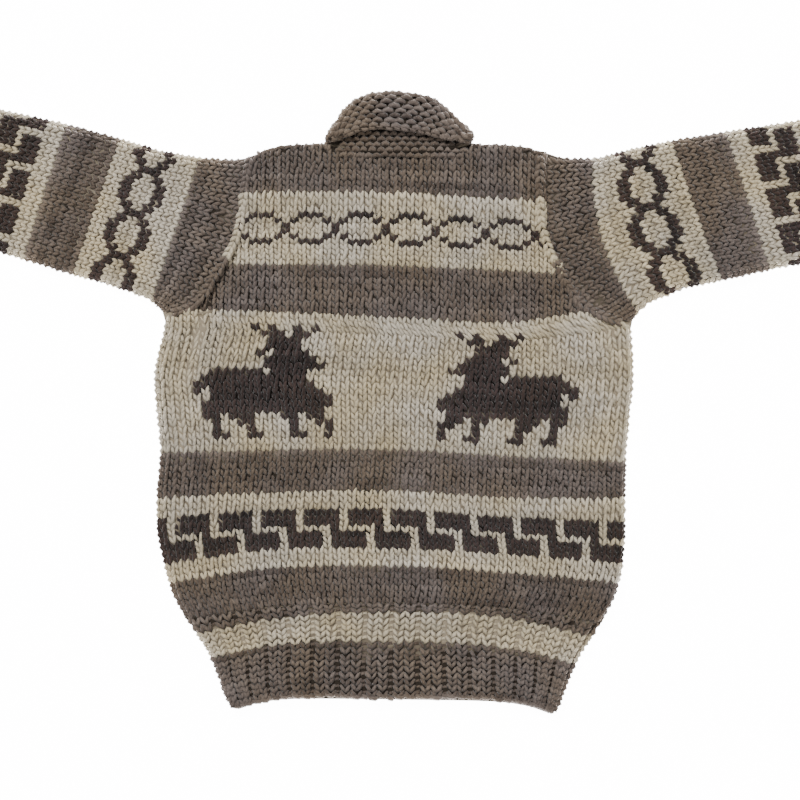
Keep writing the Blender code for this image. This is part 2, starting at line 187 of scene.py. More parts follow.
# How much wider than even the middle stitches are, at the foot and at the head, and the
# heights between which this changes.
Squeeze = namedtuple("Squeeze", "foot head low high")
BODY_SQUEEZE = Squeeze(0.08, 0.0, -220.0 * MM, -110.0 * MM)
HEM_SQUEEZE = Squeeze(0.35, 0.08, -330.0 * MM, -218.0 * MM)
OUTLINE_PLACES = 500      # places along a solid at which its outline is measured
OUTLINE_MARGIN = 0.2 * MM    # how far inside its ends the first and the last of them are
# Where a row of a sleeve crosses its upper fold, its middle and its lower fold.
SleeveCourse = namedtuple("SleeveCourse", "row top middle under")
LEFT_SLEEVE = (
    SleeveCourse(8, -204.5, -228.5, -252.5),
    SleeveCourse(23, -284.5, -308.5, -332.5),
    SleeveCourse(31, -337.5, -359.5, -381.5),
    SleeveCourse(73, -599.5, -617.0, -634.5),
)
RIGHT_SLEEVE = (
    SleeveCourse(8, 191.5, 198.5, 235.5),
    SleeveCourse(23, 269.5, 293.5, 320.5),
    SleeveCourse(31, 323.5, 345.5, 368.5),
    SleeveCourse(73, 595.5, 614.5, 633.5),
)
LEFT_CUFF = (
    SleeveCourse(0, -601.5, -619.0, -636.5),
    SleeveCourse(CUFF_ROWS, -664.5, -679.5, -694.5),
)
RIGHT_CUFF = (
    SleeveCourse(0, 597.5, 616.5, 635.5),
    SleeveCourse(CUFF_ROWS, 661.5, 678.0, 694.5),
)
FOLD_INSET = 5.5 * MM     # from a tube's folded edge to where its cloth begins to turn
FOLD_ANGLES = (54.0, 18.0, -18.0)    # degrees at which the cloth round a fold is placed
FOLD_PROBE = 14.0 * MM    # how far out a place on a fold is sought
# Strips of the turned-down collar, from its lower edge up to where it folds over.
CollarStrip = namedtuple("CollarStrip", "edge_x edge_y fold_x fold_y")
COLLAR_STRIPS = (
    CollarStrip(-77.5, 236.5, -79.5, 242.5),
    CollarStrip(-63.5, 242.0, -69.5, 256.5),
    CollarStrip(-50.5, 249.0, -59.5, 272.5),
    CollarStrip(-38.5, 253.0, -48.5, 283.5),
    CollarStrip(-23.5, 254.0, -31.5, 289.0),
    CollarStrip(-7.5, 253.0, -10.5, 290.0),
    CollarStrip(7.5, 251.5, 11.5, 288.5),
    CollarStrip(21.5, 248.5, 31.5, 283.5),
    CollarStrip(34.5, 245.0, 44.5, 271.5),
    CollarStrip(49.5, 241.5, 58.5, 257.5),
    CollarStrip(68.5, 236.0, 72.5, 242.0),
)
EDGE_GAP = 1.5 * MM       # from the collar's lower edge to the first of its cloth
BEND_GAP = 3.0 * MM       # from where the collar folds over to the last of its level cloth
BEND_DEPTH = (5.0 * MM, 7.0 * MM)    # the bend's middle, in from the fold and below it
BEND_PROBE = 16.0 * MM    # how far out a place on the bend is sought
BEND_ANGLES = range(60, -61, -15)    # degrees at which the cloth round the bend is placed
STRIP_PLACES = 14         # places up the level cloth of each strip
TIP_SHARES = (0.3, 0.6)   # shares of a short strip where its level cloth starts and ends
# What shows of the collar's stand: its ends, its foot, the height of a row, and how high
# it lies at two places up it.
STAND_ENDS = (-64.0 * MM, 60.0 * MM)
STAND_FOOT = 225.0 * MM
STAND_ROW = 5.6 * MM
STAND_SLOPE = ((234.0 * MM, 252.0 * MM), (21.9 * MM, 18.8 * MM))
LAPEL_INSET = 2.0 * MM    # from a lapel's edges to its cloth
LAPEL_FOOT_INSET = 4.0 * MM
LEAST_RIDGE = 3.0 * MM    # a garter row is skipped where it would be lower than this

# ---- creases ------------------------------------------------------------------------
UPPER_LAYER = (4.5 * MM, 7.0 * MM)   # heights between which the upper layer begins
# A soft trough or ridge of the upper layer of cloth, along a straight line.
Crease = namedtuple("Crease", "from_x from_y to_x to_y width rise")
CREASES = (
    Crease(-166, 134, -192, 88, 7, -4.8),
    Crease(-192, 88, -212, 36, 8, -5.4),
    Crease(-212, 36, -222, -60, 9, -3.0),
    Crease(-180, 92, -194, 40, 8, 1.8),
    Crease(-208, 88, -230, 34, 6, 1.6),
    Crease(-222, -60, -226, -172, 8, -2.0),
    Crease(-236, 30, -240, -40, 7, 1.6),
    Crease(196, 84, 212, 44, 8, -3.6),
    Crease(212, 44, 216, -70, 8, -1.2),
    Crease(-118, 40, -104, -120, 26, 1.0),
    Crease(58, 60, 74, -90, 30, 0.9),
    Crease(150, 20, 140, -60, 22, -0.8),
    Crease(-30, -130, 40, -148, 16, 0.8),
    Crease(-60, 210, -90, 150, 20, 0.9),
    Crease(80, 216, 110, 170, 20, 0.7),
    Crease(-190, 190, -262, 128, 14, 1.3),
    Crease(-300, 226, -352, 128, 15, -1.3),
    Crease(-420, 240, -470, 176, 18, 1.4),
    Crease(-520, 268, -556, 220, 14, -1.2),
    Crease(196, 186, 262, 110, 14, 1.2),
    Crease(300, 206, 356, 134, 15, -1.3),
    Crease(428, 220, 470, 158, 18, 1.3),
    Crease(530, 236, 566, 190, 14, -1.1),
)

# ---- strands ------------------------------------------------------------------------
# A strand runs through points given in stitches across, rows along, millimetres off the
# cloth and thickness as a share of the yarn's.
StrandPoint = namedtuple("StrandPoint", "across along out thick")
LEFT_LEG = (
    StrandPoint(0.50, -0.16, -1.7, 0.76),
    StrandPoint(0.29, 0.36, 0.0, 1.06),
    StrandPoint(0.10, 0.90, -1.6, 0.80),
)
RIGHT_LEG = (
    StrandPoint(0.60, -0.34, -1.3, 0.74),
    StrandPoint(0.71, 0.16, 0.8, 1.02),
    StrandPoint(0.81, 0.76, 1.0, 1.04),
    StrandPoint(0.86, 1.26, -0.9, 0.76),
)
# The two legs of a stitch of the sleeves, sides and ribs, which are knitted more evenly.
EVEN_LEFT_LEG = (
    StrandPoint(0.50, -0.22, -1.5, 0.74),
    StrandPoint(0.27, 0.32, 0.6, 1.08),
    StrandPoint(0.06, 0.86, -1.5, 0.74),
)
EVEN_RIGHT_LEG = (
    StrandPoint(0.52, -0.26, -1.4, 0.74),
    StrandPoint(0.76, 0.30, 0.7, 1.08),
    StrandPoint(0.96, 0.90, -1.4, 0.74),
)
PURL_BUMP = (
    StrandPoint(0.00, 0.12, -1.8, 0.66),
    StrandPoint(0.27, 0.58, 0.3, 1.06),
    StrandPoint(0.67, 0.66, 0.4, 1.06),
    StrandPoint(1.00, 0.22, -1.7, 0.66),
)
GARTER_BUMP = (
    StrandPoint(0.02, 0.02, -3.0, 0.56),
    StrandPoint(0.20, 0.44, 0.2, 0.98),
    StrandPoint(0.50, 0.66, 1.3, 1.16),
    StrandPoint(0.80, 0.44, 0.2, 0.98),
    StrandPoint(0.98, 0.02, -3.0, 0.56),
)
CAST_ON_BEAD = (
    StrandPoint(-0.06, 0.28, -1.2, 0.76),
    StrandPoint(0.28, -0.12, 0.2, 1.04),
    StrandPoint(0.72, -0.20, 0.2, 1.04),
    StrandPoint(1.10, 0.06, -1.2, 0.76),
)
STRAND_SIDES = 4
RIGHT_LEG_THICK = 0.96    # thickness of the body's right legs, as a share of the yarn's
# How far strands stray in rows, off the cloth and in thickness, for each stitch's width
# that they stray across.
STRAY_ALONG = 1.6
STRAY_OUT = 4.0 * MM
STRAY_THICK = 1.5
TONE_WAVES = 3            # waves of shade that run along each row
WAVE_LENGTHS = (3.0, 9.0)    # shortest and longest of them, in stitches to a radian
WAVE_SHARE = 0.26         # how far they change the tone, which runs from 0 to 1
ROW_SPREAD = 0.12         # how far the tones of whole rows differ
STITCH_SPREAD = 0.10      # how far those of single stitches differ
PURL_SINK = 1.7           # how far a purl column of a rib lies below the knit ones
PURL_WIDTH = 0.56         # its width, in stitches
PURL_THICK = 1.05         # thickness of its yarn, as a share of the usual
PURL_PAINTED_SHADE = 0.5           # painted shade: how light it is, likewise, darker as if shaded by the knit columns
RIB = 3                   # stitches in a rib: two knit ones and one purl
PURL_PLACE = 2            # place of the purl stitch in a rib
KNIT_RISE = 0.7           # how far the knit columns of a rib stand up
HEM_BEAD_RISES = (0.8, -0.6)    # the same for the cast-on edge, knit and purl
HEM_BEAD_THICK = 1.3
BEAD_TONES = (0.3, 0.8)   # lightest and darkest of the beads of an edge
FALL_THICK = 1.35         # thickness of the yarn of the collar's turned-down part
STAND_THICK = 1.25
# The beads along the collar's lower edge: their width in stitches, rise and thickness.
COLLAR_BEAD = 0.8
COLLAR_BEAD_RISE = 0.2
COLLAR_BEAD_THICK = 1.1
COLLAR_BEAD_TONES = (0.3, 0.7)
ROPE_STITCHES = 30        # large stitches down the edge of each armhole
ROPE_LANES = (-2.0 * MM, 2.2 * MM, 6.4 * MM)    # lines that they lie on, in from the edge
ROPE_CREAM = (127.0 * MM, 191.0 * MM)    # heights between which they are cream on the back
ROPE_TONES = (0.35, 0.85)
ROPE_RISE = 1.4
ROPE_THICK = 1.2
SHOULDERS = ((-156.0, -72.0), (69.0, 139.0))    # from and to, where the beads of a join run
SHOULDER_BEAD = 8.7       # width of a bead
SHOULDER_EDGES = (4.0 * MM, 0.5 * MM)    # its two edges, in from the shoulder's own
SHOULDER_RISE = 0.4
SHOULDER_THICK = 1.1

# ---- seams --------------------------------------------------------------------------
SEAM_REACH = 4.5 * MM     # two solids nearer than this are knitted together there
SEAM_STEP = 4.0 * MM      # how far inside a seam the cloth has its full height
# The solids that each one is knitted on to, where its shell reaches all the way.
JOINED = {
    "back": ("hem_rib_back", "sleeve_left", "sleeve_right", "collar_back"),
    "front": ("hem_rib_front", "sleeve_left", "sleeve_right", "collar_left", "collar_right"),
    "hem_rib_back": ("back",),
    "hem_rib_front": ("front",),
    "sleeve_left": ("back", "front", "cuff_left"),
    "sleeve_right": ("back", "front", "cuff_right"),
    "cuff_left": ("sleeve_left",),
    "cuff_right": ("sleeve_right",),
    "collar_back": ("back",),
    "collar_left": ("front",),
    "collar_right": ("front",),
}


def smooth(low, high, value):
    """0 below low, 1 above high and an even S between them."""
    share = np.clip((value - low) / (high - low), 0.0, 1.0)
    return share * share * (3.0 - 2.0 * share)


def unit(vectors):
    """The same directions with a length of one."""
    length = np.linalg.norm(vectors, axis=-1, keepdims=True)
    return vectors / np.maximum(length, 1e-12)


def linear(colour):
    """Turn an sRGB hex colour into linear red, green and blue with full opacity."""
    shares = [int(colour[place:place + 2], 16) / 255.0 for place in (1, 3, 5)]
    return tuple(share / 12.92 if share <= 0.04045 else ((share + 0.055) / 1.055) ** 2.4
                 for share in shares) + (1.0,)


# ---- settings -----------------------------------------------------------------------
class WoolColours(bpy.types.PropertyGroup):
    cream: FloatVectorProperty(
        name="Cream", description="Undyed white wool", size=4, min=0.0, max=1.0,
        subtype="COLOR", default=linear("#CDC2AE"))
    cream_shade: FloatVectorProperty(
        name="Cream shade", description="Darker hairs of the white wool", size=4, min=0.0,
        max=1.0, subtype="COLOR", default=linear("#8A7F6B"))
    grey: FloatVectorProperty(
        name="Grey", description="Undyed grey-brown wool", size=4, min=0.0, max=1.0,
        subtype="COLOR", default=linear("#776B63"))
    grey_shade: FloatVectorProperty(
        name="Grey shade", description="Darker hairs of the grey wool", size=4, min=0.0,
        max=1.0, subtype="COLOR", default=linear("#352B25"))
    dark: FloatVectorProperty(
        name="Dark", description="Undyed black-brown wool", size=4, min=0.0, max=1.0,
        subtype="COLOR", default=linear("#463834"))
    dark_shade: FloatVectorProperty(
        name="Dark shade", description="Darker hairs of the black-brown wool", size=4,
        min=0.0, max=1.0, subtype="COLOR", default=linear("#0B0706"))


class YarnSizes(bpy.types.PropertyGroup):
    radius: FloatProperty(
        name="Strand radius", description="Half the thickness of the yarn", unit="LENGTH",
        default=1.9 * MM, min=0.5 * MM, max=4.0 * MM)
    sink: FloatProperty(
        name="Sink", description="How far the strands' middles lie in the cloth",
        unit="LENGTH", default=1.6 * MM, min=0.0, max=4.0 * MM)
    under_sink: FloatProperty(
        name="Sink underneath", description="The same where the cloth lies on the surface",
        unit="LENGTH", default=2.7 * MM, min=0.0, max=5.0 * MM)
    shell_inset: FloatProperty(
        name="Shell inset", description="How far the shell lies inside the cloth's faces",
        unit="LENGTH", default=2.6 * MM, min=0.0, max=2.8 * MM)
    unevenness: FloatProperty(
        name="Unevenness", description="How far handspun stitches stray, in stitches",
        default=0.055, min=0.0, max=0.3)


class StageSizes(bpy.types.PropertyGroup):
    floor_size: FloatProperty(
        name="Floor size", description="Side of the square floor", unit="LENGTH",
        default=9.0, min=2.0, max=30.0)
    lens: FloatProperty(
        name="Lens", description="Focal length of the camera in millimetres",
        default=70.0, min=20.0, max=200.0)
    view_width: FloatProperty(
        name="View width", description="Width of the cloth that the camera takes in",
        unit="LENGTH", default=0.8, min=0.1, max=5.0)
    floor_glow: FloatProperty(
        name="Floor glow", description="Light that the white floor gives of its own",
        default=14.0, min=0.0, max=40.0)
    key_power: FloatProperty(
        name="Key power", description="Power of the soft light above", unit="POWER",
        default=370.0, min=0.0, max=2000.0)


# ---- the plain solids as guides -----------------------------------------------------
class Skin:
    """The skin of one plain solid: its height, its nearest point and its outline."""

    def __init__(self, node):
        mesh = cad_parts[node].data
        self.node = node
        self.points = np.array([vertex.co for vertex in mesh.vertices])
        self.edges = np.array([edge.vertices for edge in mesh.edges])
        faces = [face.vertices[:] for face in mesh.polygons]
        self.tree = BVHTree.FromPolygons([Vector(point) for point in self.points], faces)
        self.low, self.high = self.points.min(axis=0), self.points.max(axis=0)

    def meet(self, x, y, side):
        """Where a plumb line meets the skin from above (side 1) or below (side -1), or None."""
        return self.tree.ray_cast(Vector((x, y, side)), Vector((0.0, 0.0, -side)))[0]

    def heights(self, x, y, side):
        """Height of the skin at each place; beyond its outline, that of its nearest point."""
        height = np.zeros(x.shape)
        middle = (self.low[2] + self.high[2]) / 2
        for place in np.ndindex(x.shape):
            spot = self.meet(x[place], y[place], side)
            if spot is None:
                spot = self.tree.find_nearest(Vector((x[place], y[place], middle)))[0]
            height[place] = spot.z
        return height

    def seam_heights(self, x, y, side):
        """The same heights, but run level over the seams with the solids it is knitted on to."""
        height = self.heights(x, y, side)
        for place in np.ndindex(x.shape):
            spot = Vector((x[place], y[place], height[place]))
            if seam_distance(self.node, spot) > SEAM_REACH:
                continue
            for step_x, step_y in ((1, 0), (-1, 0), (0, 1), (0, -1)):
                found = self.meet(x[place] + step_x * SEAM_STEP, y[place] + step_y * SEAM_STEP, side)
                if found is not None and (found.z - height[place]) * side > 0.0:
                    height[place] = found.z
        return height

    def covers(self, spot, side):
        """Whether the skin lies straight under (side 1) or over (side -1) a point."""
        return self.meet(spot[0], spot[1], side) is not None

    def snap(self, points):
        """The nearest point of the skin to each point."""
        found = np.zeros(points.shape)
        for place in np.ndindex(points.shape[:-1]):
            found[place] = self.tree.find_nearest(Vector(points[place]))[0]
        return found

    def reach(self, axis):
        """Places along an axis, 0 for x or 1 for y, and the skin's two limits across it."""
        other = 1 - axis
        places = np.linspace(self.low[axis] + OUTLINE_MARGIN, self.high[axis] - OUTLINE_MARGIN,
                             OUTLINE_PLACES)
        start, end = self.points[self.edges[:, 0]], self.points[self.edges[:, 1]]
        lowest, highest = [], []
        for place in places:
            crosses = (start[:, axis] - place) * (end[:, axis] - place) <= 0.0
            near, far = start[crosses], end[crosses]
            run = far[:, axis] - near[:, axis]
            share = (place - near[:, axis]) / np.where(np.abs(run) < 1e-9, 1.0, run)
            values = near[:, other] + (far[:, other] - near[:, other]) * share
            lowest.append(values.min())
            highest.append(values.max())
        return places, np.array(lowest), np.array(highest)


@lru_cache(maxsize=None)
def skin_of(node):
    """The skin of a solid, made once."""
    return Skin(node)


def seam_distance(node, point):
    """How far a point is from the nearest of the solids that this one is knitted on to."""
    return min(skin_of(other).tree.find_nearest(point)[3] for other in JOINED[node])


def crease_rise(x, y):
    """How far the creases lift or sink the cloth at each place: the ones that meet do not add."""
    lift, sink = np.zeros(np.shape(x)), np.zeros(np.shape(x))
    for crease in CREASES:
        start = np.array([crease.from_x, crease.from_y]) * MM
        run = np.array([crease.to_x, crease.to_y]) * MM - start
        share = ((x - start[0]) * run[0] + (y - start[1]) * run[1]) / (run @ run)
        share = np.clip(share, 0.0, 1.0)
        away = np.hypot(x - start[0] - run[0] * share, y - start[1] - run[1] * share)
        rise = crease.rise * MM * np.exp(-(away / (crease.width * MM)) ** 2)
        lift, sink = np.maximum(lift, rise), np.minimum(sink, rise)
    return lift + sink


# ---- cloth: the lattice that the stitches are placed on -----------------------------
class Cloth:
    """A lattice of points on one face of a panel: whole rows by half stitches."""

    def __init__(self, points, facing, probe=None):
        """facing is 1 where the cloth looks up at its probed point and -1 where it looks down."""
        self.points = points
        normals = np.cross(np.gradient(points, axis=1), np.gradient(points, axis=0))
        row, column = probe or (points.shape[0] // 2, points.shape[1] // 2)
        if normals[row, column, 2] * facing < 0.0:
            normals = -normals
        self.normals = unit(normals)

    def place(self, across, along, out):
        """Points at stitches across, rows along and a distance off the cloth."""
        rows, columns = self.points.shape[:2]
        half = across * 2.0
        row = np.clip(np.floor(along), 0, rows - 2).astype(int)
        column = np.clip(np.floor(half), 0, columns - 2).astype(int)
        up, over = (along - row)[..., None], (half - column)[..., None]

        def mix(grid):
            near = grid[row, column] * (1.0 - over) + grid[row, column + 1] * over
            far = grid[row + 1, column] * (1.0 - over) + grid[row + 1, column + 1] * over
            return near * (1.0 - up) + far * up

        normal = unit(mix(self.normals))
        return mix(self.points) + normal * out[..., None], normal

    def middle(self, start, width, row):
        """The middle of a stitch, on the cloth."""
        return self.place(np.array(start + width / 2), np.array(row + 0.5), np.array(0.0))[0]


def even_curve(knots, values, places):
    """A smooth curve through values at evenly spaced knots, read at places."""
    step = knots[1] - knots[0]
    slopes = np.gradient(values, step, axis=-1)
    share = (places - knots[0]) / step
    cell = np.clip(np.floor(share), 0, len(knots) - 2).astype(int)
    part = share - cell
    near = 2 * part ** 3 - 3 * part ** 2 + 1
    near_slope = part ** 3 - 2 * part ** 2 + part
    far = 3 * part ** 2 - 2 * part ** 3
    far_slope = part ** 3 - part ** 2
    return (values[..., cell] * near + slopes[..., cell] * step * near_slope
            + values[..., cell + 1] * far + slopes[..., cell + 1] * step * far_slope)


def course_heights(courses, rows, spread):
    """Height of every row at places spread from -1 to 1 across the body."""
    table = np.array(courses)
    at_rows = np.array([np.interp(rows, table[:, 0], table[:, place]) for place in range(1, 6)]).T
    return even_curve(np.linspace(-1.0, 1.0, 5), at_rows, spread) * MM


def run_lengths(line):
    """How far along a line each of its points is."""
    steps = np.linalg.norm(np.diff(line, axis=0), axis=1)
    return np.concatenate([[0.0], np.cumsum(steps)])


def evenly(line, count):
    """So many points, evenly spaced, along a line through points."""
    lengths = run_lengths(line)
    even = np.linspace(0.0, lengths[-1], count)
    return np.stack([np.interp(even, lengths, column) for column in line.T], axis=-1)


def body_cloth(node, courses, stitches, side, squeeze):
    """Cloth over a body panel, with one more column down the wall of each side.

    side is 1 for the upper face and -1 for the one underneath.
    """
    skin = skin_of(node)
    rows = np.arange(courses[-1].row + 1)
    spread = np.linspace(-1.0, 1.0, 2 * stitches + 1)
    y = course_heights(courses, rows, spread)
    places, left, right = skin.reach(1)
    left_x = np.interp(np.minimum(y[:, :1], UNDERARM), places, left) + SIDE_INSET
    right_x = np.interp(np.minimum(y[:, -1:], UNDERARM), places, right) - SIDE_INSET
    for side_x in (left_x, right_x):
        # The solid's corner is rounded at the first row, so the side is run straight on to it.
        side_x[0] = 2.0 * side_x[1] - side_x[2]
    wider = squeeze.foot + (squeeze.head - squeeze.foot) * smooth(
        squeeze.low, squeeze.high, y.mean(axis=1, keepdims=True))
    eased = spread + wider * (spread - spread ** 3)
    x = (left_x + right_x) / 2 + (right_x - left_x) / 2 * eased
    z = skin.seam_heights(x, y, side)
    if side > 0:
        z = z + crease_rise(x, y)
    face = np.stack([x, y, z], axis=-1)
    walls = []
    for edge, way in ((0, -1.0), (-1, 1.0)):
        for drop in WALL_DROPS:
            beyond = np.array([way * 2.0 * SIDE_INSET, 0.0, -side * drop])
            walls.append(skin.snap(face[:, edge] + beyond)[:, None])
    left_middle, left_foot, right_middle, right_foot = walls
    columns = [left_foot, left_middle, face, right_middle, right_foot]
    return Cloth(np.concatenate(columns, axis=1), side)


def armhole_line(node, side, count):
    """Points down a sleeve's armhole edge, evenly spaced from the shoulder."""
    skin = skin_of(node)
    places, lowest, highest = skin.reach(1)
    inner = highest if side < 0 else lowest
    foot = places[np.argmax(places > skin.low[1] + ARMHOLE_FOOT)]
    y = np.linspace(ARMHOLE_TOP, foot, ARMHOLE_PLACES)
    return evenly(np.stack([np.interp(y, places, inner) - side * ARMHOLE_OVERLAP, y], axis=-1), count)


def tube_row(outline, courses, row, share, armhole=None):
    """Points of a tube's row at shares from its upper fold to its lower one.

    Where it has an armhole, the rows up to the first course run in from that.
    """
    places, lowest, highest = outline
    table = np.array(courses, dtype=float)
    first_row = table[0, 0]
    course = max(row, first_row)
    top, middle, under = (np.interp(course, table[:, 0], table[:, place]) * MM
                          for place in (1, 2, 3))
    top_y, under_y = np.interp(top, places, highest), np.interp(under, places, lowest)
    x = (top * (1 - share) * (1 - 2 * share) + middle * 4 * share * (1 - share)
         + under * share * (2 * share - 1))
    y = top_y + (under_y - top_y) * share
    if armhole is not None and row < first_row:
        even = np.linspace(0.0, 1.0, len(armhole))
        blend = row / first_row
        x = np.interp(share, even, armhole[:, 0]) * (1 - blend) + x * blend
        y = np.interp(share, even, armhole[:, 1]) * (1 - blend) + y * blend
    return x, y


def tube_cloth(node, courses, rows, face_stitches, armhole=None):
    """Cloth all the way round a flattened tube: upper face, lower fold, underside, fold."""
    skin = skin_of(node)
    outline = skin.reach(0)
    lattice = []
    for row in range(rows + 1):
        end_x, end_y = tube_row(outline, courses, row, np.array([0.0, 1.0]), armhole)
        length = np.hypot(end_x[1] - end_x[0], end_y[1] - end_y[0])
        share = np.linspace(FOLD_INSET / length, 1.0 - FOLD_INSET / length, 2 * face_stitches + 1)
        x, y = tube_row(outline, courses, row, share, armhole)
        high = skin.seam_heights(x, y, 1)
        low = skin.seam_heights(x, y, -1)
        upper = np.stack([x, y, high + crease_rise(x, y)], axis=-1)
        lower = np.stack([x, y, low], axis=-1)[::-1]
        across = unit(np.array([end_x[1] - end_x[0], end_y[1] - end_y[0], 0.0]))
        folds = []
        for end, way in ((1, 1.0), (0, -1.0)):
            rim = np.array([end_x[end], end_y[end], (high.mean() + low.mean()) / 2])
            centre = rim - across * way * FOLD_INSET
            guess = []
            for angle in np.radians(FOLD_ANGLES) * way:
                rise = np.array([0.0, 0.0, FOLD_PROBE * math.sin(angle)])
                guess.append(centre + across * way * FOLD_PROBE * math.cos(angle) + rise)
            folds.append(skin.snap(np.array(guess)))
        lattice.append(np.concatenate([upper, folds[0], lower, folds[1], upper[:1]]))
    points = np.array(lattice)
    return Cloth(points, 1, (len(points) // 2, face_stitches))


# ---- which yarn each stitch has -----------------------------------------------------
def repeat_dark(chart, start, stitch, row):
    """Whether a repeating chart has a dark stitch; row counts up from the chart's foot."""
    line = chart[len(chart) - 1 - row]
    return line[(stitch - start) % len(line)] == "#"


def deer_dark(stitch, row):
    """Whether a stitch of the back belongs to one of the two deer."""
    up = row - DEER_ROW
    if not 0 <= up < len(DEER_CHART):
        return False
    line = DEER_CHART[len(DEER_CHART) - 1 - up]
    width = len(line)
    if LEFT_DEER <= stitch < LEFT_DEER + width:
        return line[stitch - LEFT_DEER] == "#"
    if RIGHT_DEER <= stitch < RIGHT_DEER + width:
        return line[width - 1 - (stitch - RIGHT_DEER)] == "#"
    return False


def yarn_of(bands, stitch, row, repeat=BODY_REPEAT, with_deer=False):
    """Which yarn, cream, grey or dark, a stitch is knitted in."""
    foot = 0
    for band in bands:
        if row < foot + band.rows or band is bands[-1]:
            break
        foot += band.rows
    if band.kind == "grey":
        return "grey"
    charts = {
        "chain": (CHAIN_CHART, repeat.chain),
        "wide chain": (WIDE_CHAIN_CHART, repeat.wide_chain),
        "meander": (MEANDER_CHART, repeat.meander),
    }
    if band.kind in charts:
        chart, start = charts[band.kind]
        dark = repeat_dark(chart, start, stitch * repeat.way, row - foot)
    else:
        dark = band.kind == "deer" and with_deer and deer_dark(stitch, row)
    return "dark" if dark else "cream"


# ---- strands ------------------------------------------------------------------------
class Knitting:
    """Gathers a panel's strands by yarn, then makes one object for each yarn."""

    def __init__(self, panel):
        self.panel = panel
        self.gathered = {}
        self.chance = np.random.default_rng(SEED + sum(ord(letter) for letter in panel))

    def lay(self, cloth, stitches, path, radius, sink):
        """Lay one strand along a path for each stitch.

        A stitch is (yarn, start, width, row, height in rows, mm off the cloth, tone).
        """
        if not stitches:
            return
        path = np.array(path)
        loose = bpy.context.scene.yarn_sizes.unevenness
        numbers = np.array([stitch[1:] for stitch in stitches])
        start, width, row, tall, out, tone = (numbers[:, place][:, None] for place in range(6))
        stray = self.chance.normal(0.0, loose, (len(stitches), 4))
        across = start + width * path[None, :, 0] + stray[:, :1]
        along = row + tall * path[None, :, 1] + stray[:, 1:2] * STRAY_ALONG
        off = (out + path[None, :, 2]) * MM - sink + stray[:, 2:3] * STRAY_OUT
        centre, normal = cloth.place(across, along, off)
        forward = unit(np.gradient(centre, axis=1))
        sideways = unit(np.cross(forward, normal))
        upward = np.cross(sideways, forward)
        thick = radius * path[None, :, 3] * (1.0 + stray[:, 3:4] * STRAY_THICK)
        angles = np.arange(STRAND_SIDES) / STRAND_SIDES * 2.0 * math.pi
        turn = (np.cos(angles)[:, None] * sideways[:, :, None]
                + np.sin(angles)[:, None] * upward[:, :, None])
        rings = centre[:, :, None] + turn * thick[:, :, None, None]
        for yarn in sorted({stitch[0] for stitch in stitches}):
            chosen = np.array([stitch[0] == yarn for stitch in stitches])
            self.gathered.setdefault(yarn, []).append((rings[chosen], tone[chosen, 0]))

    def lay_even(self, cloth, stitches, radius, sink):
        """Lay the two legs of evenly knitted stitches."""
        for leg in (EVEN_LEFT_LEG, EVEN_RIGHT_LEG):
            self.lay(cloth, stitches, leg, radius, sink)

    def cast_off(self, materials, slot):
        """Make an object of each yarn."""
        return [strand_object(f"{self.panel}_{yarn}_yarn", batches, materials[yarn])
                for yarn, batches in self.gathered.items()]


def add_piece(mesh, material):
    """Make an object of a mesh, smooth and riding on the one body."""
    mesh.shade_smooth()
    mesh.materials.append(material)
    piece = bpy.data.objects.new(mesh.name, mesh)
    bpy.context.scene.collection.objects.link(piece)
    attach(piece, "root")
    return piece


def strand_object(name, batches, material):
    """One object of closed strands, from batches of rings of points and the strands' tones."""
    vertices, quads, tones = [], [], []
    offset = 0
    corner = np.arange(STRAND_SIDES)
    after = (corner + 1) % STRAND_SIDES
    for rings, tone in batches:
        count, levels = rings.shape[:2]
        level = (np.arange(levels - 1) * STRAND_SIDES)[:, None]
        sides = np.stack([level + corner, level + STRAND_SIDES + corner,
                          level + STRAND_SIDES + after, level + after], -1).reshape(-1, 4)
        ends = np.stack([corner, (levels - 1) * STRAND_SIDES + corner[::-1]])
        each = levels * STRAND_SIDES
        shift = offset + np.arange(count)[:, None, None] * each
        quads.append((np.concatenate([sides, ends]) + shift).reshape(-1, 4))
        vertices.append(rings.reshape(-1, 3))
        tones.append(np.repeat(tone, each))
        offset += count * each
    vertices, quads = np.concatenate(vertices), np.concatenate(quads)
    mesh = bpy.data.meshes.new(name)
    mesh.vertices.add(len(vertices))
    mesh.vertices.foreach_set("co", vertices.ravel())
    mesh.loops.add(quads.size)
    mesh.loops.foreach_set("vertex_index", quads.ravel())
    mesh.polygons.add(len(quads))
    mesh.polygons.foreach_set("loop_start", np.arange(len(quads)) * 4)
    mesh.update(calc_edges=True)
    mesh.validate()
    shade = mesh.attributes.new("stitch_tone", "FLOAT", "POINT")
    shade.data.foreach_set("value", np.concatenate(tones))
    return add_piece(mesh, material)


def row_tones(chance, rows, stitches):
    """Shades of handspun yarn: a slow drift along each row and a little from stitch to stitch."""
    across = np.arange(stitches)[None, :]
    phase = chance.uniform(0.0, 2.0 * math.pi, (rows, TONE_WAVES))
    length = chance.uniform(*WAVE_LENGTHS, (rows, TONE_WAVES))
    waves = [np.sin(across / length[:, [wave]] + phase[:, [wave]]) for wave in range(TONE_WAVES)]
    drift = sum(waves) / TONE_WAVES
    level = chance.normal(0.0, ROW_SPREAD, (rows, 1))
    speckle = chance.normal(0.0, STITCH_SPREAD, (rows, stitches))
    return np.clip(0.5 + WAVE_SHARE * drift + level + speckle, 0.0, 1.0)


# ---- materials ----------------------------------------------------------------------
def add_node(tree, kind, settings=None, links=None):
    """Add a node with its settings, by attribute or input, and links into its inputs."""
    node = tree.nodes.new(kind)
    for key, value in (settings or {}).items():
        if isinstance(key, int) or key in node.inputs:
            node.inputs[key].default_value = value
        else:
            setattr(node, key, value)
    for key, source in (links or {}).items():
        tree.links.new(source, node.inputs[key])
    return node


